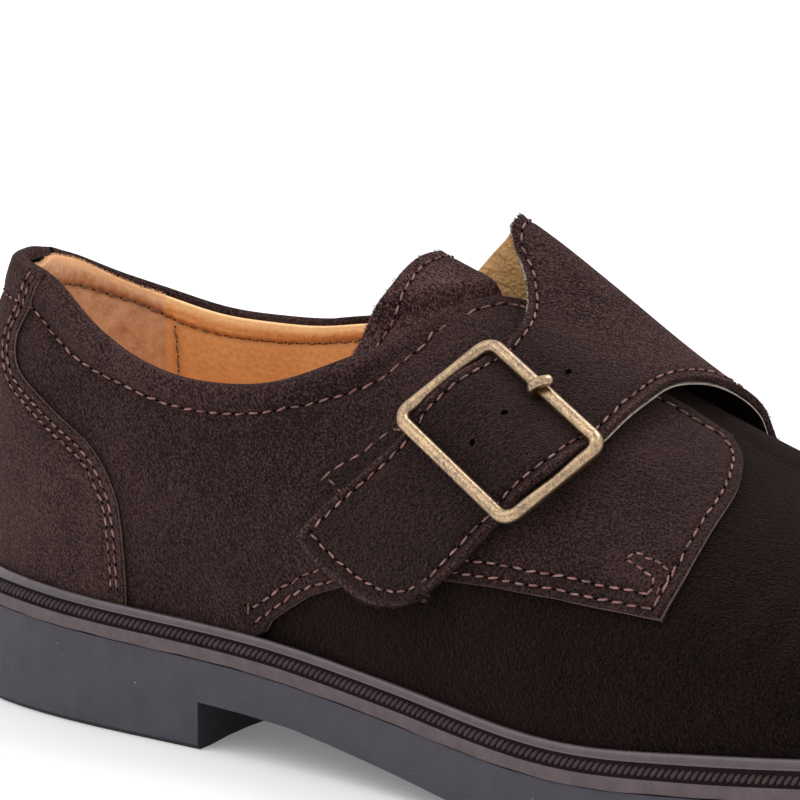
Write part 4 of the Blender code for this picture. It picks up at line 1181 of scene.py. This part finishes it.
def counterEdge(side, count=90, last=12.0):
    t = np.linspace(0, last, count)
    u = counterFrontOf(side, t)
    top = topOuter(u) if side < 0 else topInner(u)
    keep = counterAngle(t) > top + 0.8
    return u[keep], side * counterAngle(t)[keep]


t = np.linspace(0, 12, counterLook["rows"])[:, None]
share = np.linspace(-1, 1, counterLook["columns"])[None, :]
u = np.abs(share) * counterFrontOf(share, t)
top = np.where(share <= 0, topOuter(u), topInner(u))
head = top + quarterLook["rollRadius"] / perDegree(u, top, -1)
a = np.where(share > 0, 1.0, -1.0) * np.maximum(counterAngle(t), head)
normals = lastNormal(u, a)
points = onLast(u, a, counterFace(u, a))
counterLines = []
for side in (-1, 1):
    edgeU, edgeA = counterEdge(side)
    for distance in counterLook["rowsInside"]:
        rowU, rowA = insetRow(edgeU, edgeA, distance, -side)
        keep = (np.abs(rowA) < 89.0) & (rowU > 0.003) & (belowTop(rowU, rowA) > 0.6)
        counterLines.append(sewOnLast(rowU[keep], rowA[keep], counterFace, pitch=counterLook["pitch"]))
    # the collar's row runs on over the finger
    overU = np.linspace(0.012, 0.162 if side < 0 else 0.05, 40)
    overTop = topOuter(overU) if side < 0 else topInner(overU)
    over = insetRow(overU, side * overTop, padWidth(overU) + 0.2, side)
    counterLines.append(sewOnLast(*over, counterFace, pitch=counterLook["pitch"]))
points, seam = sinkRows(points, normals, counterLines, *counterLook["trough"])
points[0, :, 2] -= counterLook["footTuck"]
roll = np.full(u.shape[1], quarterLook["rollRadius"] + quarterLook["heelRoll"] + 0.1)
turned = (0.3, counterLook["thickness"], False)
finishSheet(
    "heelCounter", points, normals, {"head": (roll, 2 * roll, True), "front": turned, "rear": turned},
    {"seam": seam}, [counterSuede, rawEdge], "suede", "counter",
    [(everyRow, slice(1, 4), 1), (everyRow, slice(-4, -1), 1), (slice(-9, None), everyRow, 0)])
print("counter laid")

# tongue
tongueLook = {"thickness": 2.0, "rise": 1.6, "columns": 90, "rows": 70, "rear": 0.3815, "rearBow": 0.0072,
              "front": 0.50, "half": 48, "pitch": 2.7, "fuzz": 0.7, "trough": (0.25, 0.9)}


def tongueRear(a):
    return tongueLook["rear"] + tongueLook["rearBow"] * ease(np.abs(a), 2, 26)


def tongueFace(u, a):
    ahead = u + 0.013
    edge = np.where(a < 0, topOuter(ahead), topInner(ahead))
    bare = ease(edge - np.abs(a), 1.0, 12.0)
    return wallFace(u, a) - 2 * shoe["gap"] - shoe["wall"] * (1 - bare) + tongueLook["rise"] * bare


share = np.linspace(0, 1, tongueLook["rows"])
angles = np.linspace(-tongueLook["half"], tongueLook["half"], tongueLook["columns"])
u, a = np.meshgrid(share, angles, indexing="ij")
u = tongueRear(a) + (tongueLook["front"] - tongueRear(a)) * u
normals = lastNormal(u, a)
points = onLast(u, a, tongueFace(u, a))
rowA = np.linspace(-44, 44, 70)
rowU = tongueRear(rowA) + 0.0066 + 0.003 * ease(np.abs(rowA), 10, 28)
tongueLine = sewOnLast(rowU, rowA, tongueFace, pitch=tongueLook["pitch"])
points, seam = sinkRows(points, normals, [tongueLine], *tongueLook["trough"])
fuzzAlong(points[0], unit(points[0] - points[1]), normals[0], length=tongueLook["fuzz"])
finishSheet("tongue", points, normals, {"foot": (0.5, tongueLook["thickness"], False)}, {"seam": seam},
            [tongueSuede], "suede", "tongue")
inside = onLast(u, a, tongueFace(u, a) - tongueLook["thickness"] + 0.05)
finishSheet("tongueLining", inside, -normals, {}, {}, [strapLining], "lining", "tongue")
print("tongue laid")

# storm welt: plain side, ledge for the ribs, groove and raised bead
weltLook = {"around": 480, "ribPitch": 1.42, "ribSize": (1.15, 0.95, 2.05), "ribSlant": 0.42,
            "ribInset": 0.86, "ribRise": 4.05, "ribFacing": (0.50, 0.86), "zones": (5, 5, 14)}
weltProfile = (  # inset from the sole's edge, height over the rubber, share of the toe's extra rise
    (0.30, 0.22, 0), (0.06, 0.28, 0), (0.0, 0.45, 0), (0.0, 1.5, 0), (0.0, 2.45, 0), (0.06, 2.78, 0),
    (0.30, 3.05, 0), (0.55, 3.6, 0), (0.95, 4.4, 0), (1.30, 5.0, 0.3), (1.55, 5.27, 0.45),
    (1.85, 5.2, 0.5), (2.1, 4.95, 0.55), (2.28, 5.0, 0.65), (2.42, 5.45, 0.8), (2.6, 6.0, 1),
    (2.9, 6.42, 1), (3.3, 6.6, 1), (3.7, 6.42, 1), (3.98, 5.95, 1), (4.15, 5.2, 1), (4.3, 3.2, 0),
    (10.4, 3.2, 0), (10.4, 0.4, 0), (0.30, 0.22, 0))


def soleRing(inset, rise, around, share=0.0):
    phi = np.linspace(0, 2 * math.pi, around + 1)
    plan = soleEdge(phi, np.full(around + 1, float(inset)))
    extra = share * (beadRise(plan[:, 0]) - shoe["beadHeight"])
    return np.column_stack([plan, rubberTop(plan[:, 0]) + rise + extra])


rings = np.array([soleRing(inset, rise, weltLook["around"], share) for inset, rise, share in weltProfile])
phi = np.linspace(0, 2 * math.pi, weltLook["around"] + 1)
waver = np.sin(phi * 61) * 0.06 + np.sin(phi * 23 + 1.0) * 0.07
rings[[0, 1, 2, -1], :, 2] += waver
outward = np.zeros_like(rings)
outward[3, :, :2] = soleEdge(phi, np.full_like(phi, -1.0)) - soleEdge(phi, np.zeros_like(phi))
welt = laySheet("welt", rings, outward)
mergeDoubles(welt)
smooth(welt)
dress(welt, [weltSide, weltGroove, weltBead], "welt_rubber", "welt")
zones = np.repeat(np.arange(3, dtype=np.int32), weltLook["zones"])
welt.data.polygons.foreach_set("material_index", np.repeat(zones, weltLook["around"]))

fineEdge = soleRing(weltLook["ribInset"], weltLook["ribRise"], 4000)
lengths = lengthsAlong(fineEdge)
ribCount = int(lengths[-1] / weltLook["ribPitch"])
spots = np.arange(ribCount) * lengths[-1] / ribCount
centres, before, after = (sampled(fineEdge, lengths, (spots + step) % lengths[-1])
                          for step in (0, -0.5, 0.5))
along = unit(after - before)
inwardPlan = unit(np.stack([-along[:, 1], along[:, 0], np.zeros(ribCount)], 1))
inShare, upShare = weltLook["ribFacing"]
slope = inwardPlan * inShare + np.array([0, 0, upShare])
slant = unit(slope + along * weltLook["ribSlant"])
facing = np.cross(along, slope)
facing *= np.sign(np.sum(facing * -inwardPlan, 1))[:, None]
ribModel = modelBead("ribModel", 8, 6, weltLook["ribSize"])
ribs = copiesOf("weltRibs", ribModel, centres, along, facing, slant)
dress(ribs, [weltRib], "welt_rubber", "welt")
print("welt laid with", ribCount, "ribs")

# rubber sole and heel
soleLook = {"bevel": (0.4, 2), "smooth": 32}
sockLook = {"bevel": (0.5, 2), "smooth": 40}


def copyOfNode(name, node):
    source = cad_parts[node]
    piece = source.copy()
    piece.data = source.data.copy()
    piece.name = name
    piece.data.name = name
    piece.parent = None
    bpy.context.collection.objects.link(piece)
    for key in list(piece.keys()):
        if key.startswith("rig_"):
            del piece[key]
    mergeDoubles(piece)
    return piece


def softenEdges(piece, width, segments, angle=35):
    makeActive(piece)
    bevel = piece.modifiers.new("softEdges", 'BEVEL')
    bevel.width = width * mm
    bevel.segments = segments
    bevel.limit_method = 'ANGLE'
    bevel.angle_limit = math.radians(angle)
    bpy.ops.object.modifier_apply(modifier=bevel.name)


sole = copyOfNode("outsole", "outsole")
softenEdges(sole, *soleLook["bevel"])
smooth(sole, soleLook["smooth"])
dress(sole, [rubber, shadedRubber], "sole_rubber", "outsole")
# faces turned down, and the heel breast, get the darker copy: painted shade
for face in sole.data.polygons:
    if face.normal.z < -0.6 or (face.normal.x > 0.7 and abs(face.center.x) < 0.1):
        face.material_index = 1
sock = copyOfNode("sockLining", "insole")
softenEdges(sock, *sockLook["bevel"])
smooth(sock, sockLook["smooth"])
dress(sock, [sockLeather], "lining", "insole")
print("sole and sock lining made")

# buckle, prong and chape
buckleLook = {
    "centre": (145.60, -28.26, 68.12), "w": (0.8786, -0.2744, -0.3908),
    "a": (-0.4681, -0.6567, -0.5913), "long": 39.8, "short": 25.1, "wire": 2.7, "halfHigh": 1.3,
    "corner": 2.9, "squareness": 2.15, "barRadius": 0.9, "barDrop": 1.7, "lastDrop": 5.85,
    "lastRadius": 48.0}
prongLook = {"w": -2.1, "lean": -0.41, "leanFrom": -7.9, "half": (1.2, 0.85), "squareness": 2.4, "path": (
    (-13.4, 1.45), (-12.7, 2.0), (-11.7, 2.4), (-10.7, 2.45), (-9.9, 2.2), (-9.4, 1.2), (-9.2, -0.3),
    (-8.8, -1.6), (-7.4, -2.3), (-5.0, -2.4), (-2.6, -2.0), (-1.2, -1.75))}  # along, height
centre, axisW, axisA = (np.array(buckleLook[key]) for key in ("centre", "w", "a"))
axisOut = np.cross(axisA, axisW)


def inBuckle(a, w, h):
    return centre + axisA * a + axisW * w + axisOut * h


def metalTube(name, path, halfWide, halfHigh, squareness=2.0, closed=True, sides=20):
    # a bar along a path, its section between an oval and a rounded square
    path = np.asarray(path)
    ahead = unit(np.roll(path, -1, 0) - np.roll(path, 1, 0) if closed else np.gradient(path, axis=0))
    side = unit(np.cross(ahead, axisOut))
    up = np.cross(side, ahead)
    turn = np.linspace(0, 2 * math.pi, sides + 1)
    c, s = (np.sign(wave) * np.abs(wave) ** (2 / squareness) for wave in (np.cos(turn), np.sin(turn)))
    wide, high = (np.broadcast_to(half, (len(path),))[:, None] for half in (halfWide, halfHigh))
    outward = side[:, None, :] * (wide * c)[..., None] + up[:, None, :] * (high * s)[..., None]
    points = path[:, None, :] + outward
    if closed:
        points, outward = (np.concatenate([rows, rows[:1]], 0) for rows in (points, outward))
    piece = laySheet(name, points, outward)
    mergeDoubles(piece)
    return piece


def frameCorner(signA, signW, turn):
    corner = buckleLook["corner"]
    return inBuckle(signA * (halfA - corner) + corner * math.cos(turn),
                    signW * (halfW - corner) + corner * math.sin(turn), 0.0)


halfW = (buckleLook["long"] - buckleLook["wire"]) / 2
halfA = (buckleLook["short"] - buckleLook["wire"]) / 2
corners = ((1, 1), (-1, 1), (-1, -1), (1, -1))
path = []
for quarter, signs in enumerate(corners):
    path.extend(frameCorner(*signs, (quarter + step / 12) * math.pi / 2) for step in range(13))
    start, goal = path[-1], frameCorner(*corners[(quarter + 1) % 4], (quarter + 1) * math.pi / 2)
    path.extend(start + (goal - start) * t for t in np.linspace(0, 1, 12)[1:-1])
buckle = metalTube("buckleFrame", path, buckleLook["wire"] / 2, buckleLook["halfHigh"],
                   buckleLook["squareness"])
barPath = [inBuckle(0, w, -buckleLook["barDrop"]) for w in np.linspace(-halfW, halfW, 20)]
bar = metalTube("centreBar", barPath, buckleLook["barRadius"], buckleLook["barRadius"], closed=False)
buckle = joinPieces("buckleFrame", [buckle, bar])
smooth(buckle)
dress(buckle, [brass], "antique_brass", "buckle_frame")

prongPath = prongLook["path"]
fineSteps = np.linspace(0, len(prongPath) - 1, 64)
prongA, prongH = (curve(fineSteps) for curve in tableCurves(
    [(step, *row) for step, row in enumerate(prongPath)]))
prongSide = prongLook["w"] + prongLook["lean"] * np.minimum(prongA - prongLook["leanFrom"], 0)
path = [inBuckle(*spot) for spot in zip(prongA, prongSide, prongH)]
tip = np.maximum(np.sqrt(1 - (1 - np.clip(fineSteps / 0.9, 0, 1)) ** 2), 0.02)
prong = metalTube("prong", path, *(half * tip for half in prongLook["half"]), prongLook["squareness"],
                  closed=False, sides=16)
smooth(prong)
dress(prong, [prongBrass], "antique_brass", "buckle_prong")

chapeLook = {"half": 12.5, "thickness": 0.9, "columns": 30, "rows": 90, "rest": 0.83, "stitchInset": 1.8,
             "pitch": 3.3}
chapeLoop = (
    (7.0, 3.40), (3.6, 4.45), (1.3, 5.45), (0.0, 5.65), (-1.1, 5.20), (-1.55, 4.10), (-1.1, 3.00),
    (0.4, 2.40))
chapeTail = (
    (0.4600, -41.6, 0.5099, -47.4), (0.4513, -46.6, 0.5045, -53.0), (0.4342, -47.6, 0.4993, -55.6),
    (0.4229, -52.3, 0.4891, -60.7), (0.4121, -56.8, 0.4792, -65.9), (0.4008, -61.3, 0.4692, -71.1))
across = np.linspace(0, 1, chapeLook["columns"])
rows = []
for pa, d in chapeLoop:
    h = d - buckleLook["lastDrop"] - pa * pa / (2 * buckleLook["lastRadius"])
    rows.append(np.array([inBuckle(pa, w, h) for w in chapeLook["half"] * (2 * across - 1)]))
rest = shoe["gap"] + shoe["leather"] + chapeLook["rest"]
for rearU, rearA, frontU, frontA in chapeTail:
    rows.append(onLast(rearU + (frontU - rearU) * across, rearA + (frontA - rearA) * across,
                       np.full(len(across), rest)))
rows = np.array(rows)
travel = lengthsAlong(rows[:, len(across) // 2])
fineTravel = np.linspace(0, travel[-1], chapeLook["rows"])
lines = [curveThrough(travel, column)(fineTravel) for column in rows.reshape(len(rows), -1).T]
chapePoints = np.array(lines).T.reshape(len(fineTravel), -1, 3)
chapeNormals = unit(np.cross(np.gradient(chapePoints, axis=1), np.gradient(chapePoints, axis=0)))
if chapeNormals[-10, 10, 1] > 0:
    chapeNormals = -chapeNormals
chapeFace = chapePoints + chapeNormals * 0.4
tail, inset = chapeFace[40:], chapeLook["stitchInset"]
for line in (drawnIn(tail, inset), drawnIn(tail, inset, True),
             drawnIn(chapeFace.transpose(1, 0, 2), inset, True)[2:-2]):
    sewRow(line, lineNormals(chapeFace, chapeNormals, line), pitch=chapeLook["pitch"])
chape = laySheet("chape", chapePoints, chapeNormals)
makeActive(chape)
wall = chape.modifiers.new("leather", 'SOLIDIFY')
wall.thickness = chapeLook["thickness"] * mm
wall.offset = 0
bpy.ops.object.modifier_apply(modifier=wall.name)
softenEdges(chape, 0.25, 2, 60)
smooth(chape)
dress(chape, [strapSuede], "suede", "chape")
print("buckle, prong and chape made")

# all stitches, sewn last so that every row is known
chance = np.random.default_rng(7)
for colour, finish, holeFinish, slotName in (("thread", thread, holeDark, "suede"),
                                             ("lining", liningThread, liningHole, "lining")):
    chosen = [row for row in stitchRows if row[3] == colour]
    spots = [alongRow(row[0], row[1], row[2]) for row in chosen]
    centres, xAxes, yAxes, zAxes, holes = (np.concatenate([spot[k] for spot in spots]) for k in range(5))
    steps = np.concatenate([np.full(len(spot[0]), spot[5]) for spot in spots])[:, None]
    sizes = np.concatenate([np.full(len(spot[0]), row[4]) for spot, row in zip(spots, chosen)])[:, None]
    holeLong, holeWide, holeHigh = stitchLook["hole"]
    # each needle hole is a small dark bead: painted shade inside the hole
    needleHoles = copiesOf("needleHoles_" + colour, stitchModel, holes - zAxes * 0.10,
                           xAxes * holeLong, yAxes * holeWide, zAxes * holeHigh)
    dress(needleHoles, [holeFinish], slotName)
    tilt = stitchLook["lean"] + chance.normal(0, stitchLook["tilt"], (len(centres), 1))
    xAxes, yAxes = xAxes + yAxes * tilt, yAxes - xAxes * tilt
    centres = centres + yAxes * chance.normal(0, stitchLook["stray"], (len(centres), 1))
    uneven = chance.normal(1.0, stitchLook["uneven"], (len(centres), 1))
    stitches = copiesOf("stitches_" + colour, stitchModel, centres + zAxes * 0.03,
                        xAxes * steps * stitchLook["share"] * uneven, yAxes * stitchLook["width"] * sizes,
                        zAxes * stitchLook["height"] * sizes)
    dress(stitches, [finish], slotName)
    print("stitches sewn:", len(centres))
hairModel = modelBead("hairModel", 4, 3, (1.0, 1.0, 1.0))
for colour, finish, slotName in (("suede", suede, "suede"), ("grip", fuzzTan, "lining")):
    chosen = [row for row in fuzzRows if row[3] == colour]
    hairs = copiesOf("fuzz_" + colour, hairModel, *growFuzz(chosen, chance))
    dress(hairs, [finish], slotName)
places, alongs, outs = (np.array([hole[k] for hole in strapHoles]) for k in range(3))
holeLong, holeWide, holeHigh = stitchLook["strapHole"]
# each punched hole is a dark bead: painted shade inside the hole
punched = copiesOf("strapHoles", stitchModel, places - outs * 0.12, alongs * holeLong,
                   np.cross(outs, alongs) * holeWide, outs * holeHigh)
dress(punched, [punchDark], "suede")

# floor, light and camera
stageLook = {"floor": (0.93, 0.93, 0.93), "floorGlow": 0.15, "world": (1.0, 1.0, 1.0),
             "worldStrength": 1.02}
floorFinish = Finish("paleFloor")
floorFinish.set(colour=stageLook["floor"], roughness=0.8, specular=0.1)
floorFinish.shader.inputs["Emission Color"].default_value = (1.0, 1.0, 1.0, 1.0)
floorFinish.shader.inputs["Emission Strength"].default_value = stageLook["floorGlow"]
clearSelection()
bpy.ops.mesh.primitive_plane_add(size=40.0, location=(0, 0, 0))
floor = bpy.context.object
floor.name = "floor"
floor.data.materials.append(floorFinish.material)

world = bpy.data.worlds.new("studio")
bpy.context.scene.world = world
world.use_nodes = True
sky = world.node_tree.nodes["Background"].inputs
sky["Color"].default_value = (*stageLook["world"], 1.0)
sky["Strength"].default_value = stageLook["worldStrength"]
bpy.context.scene.view_settings.view_transform = 'Standard'

suns = (  # towards the lamp, strength, angle across
    ((0.0, 0.60, 1.00), 1.0, 30.0), ((-0.6, -0.5, 0.9), 0.35, 40.0))
for towards, strength, angle in suns:
    bpy.ops.object.light_add(type='SUN', location=Vector(towards).normalized() * 3,
                             rotation=(-Vector(towards)).to_track_quat('-Z', 'Y').to_euler())
    sun = bpy.context.object
    sun.name = "softSun"
    sun.data.energy = strength
    sun.data.angle = math.radians(angle)

cameraLook = {"place": (0.479535, -0.687623, 0.209038), "forward": (-0.601056, 0.782371, -0.163177),
              "right": (0.792992, 0.609232, 0.000075), "lens": 204.17, "sensor": 36.0, "near": 0.05}
bpy.ops.object.camera_add()
camera = bpy.context.object
camera.name = "camera"
camera.data.lens = cameraLook["lens"]
camera.data.sensor_width = cameraLook["sensor"]
camera.data.clip_start = cameraLook["near"]
forward = Vector(cameraLook["forward"]).normalized()
right = Vector(cameraLook["right"]).normalized()
up = right.cross(forward)
turned = Matrix((right, up, -forward)).transposed().to_4x4()
turned.translation = Vector(cameraLook["place"])
camera.matrix_world = turned
bpy.context.scene.camera = camera
print("stage set")
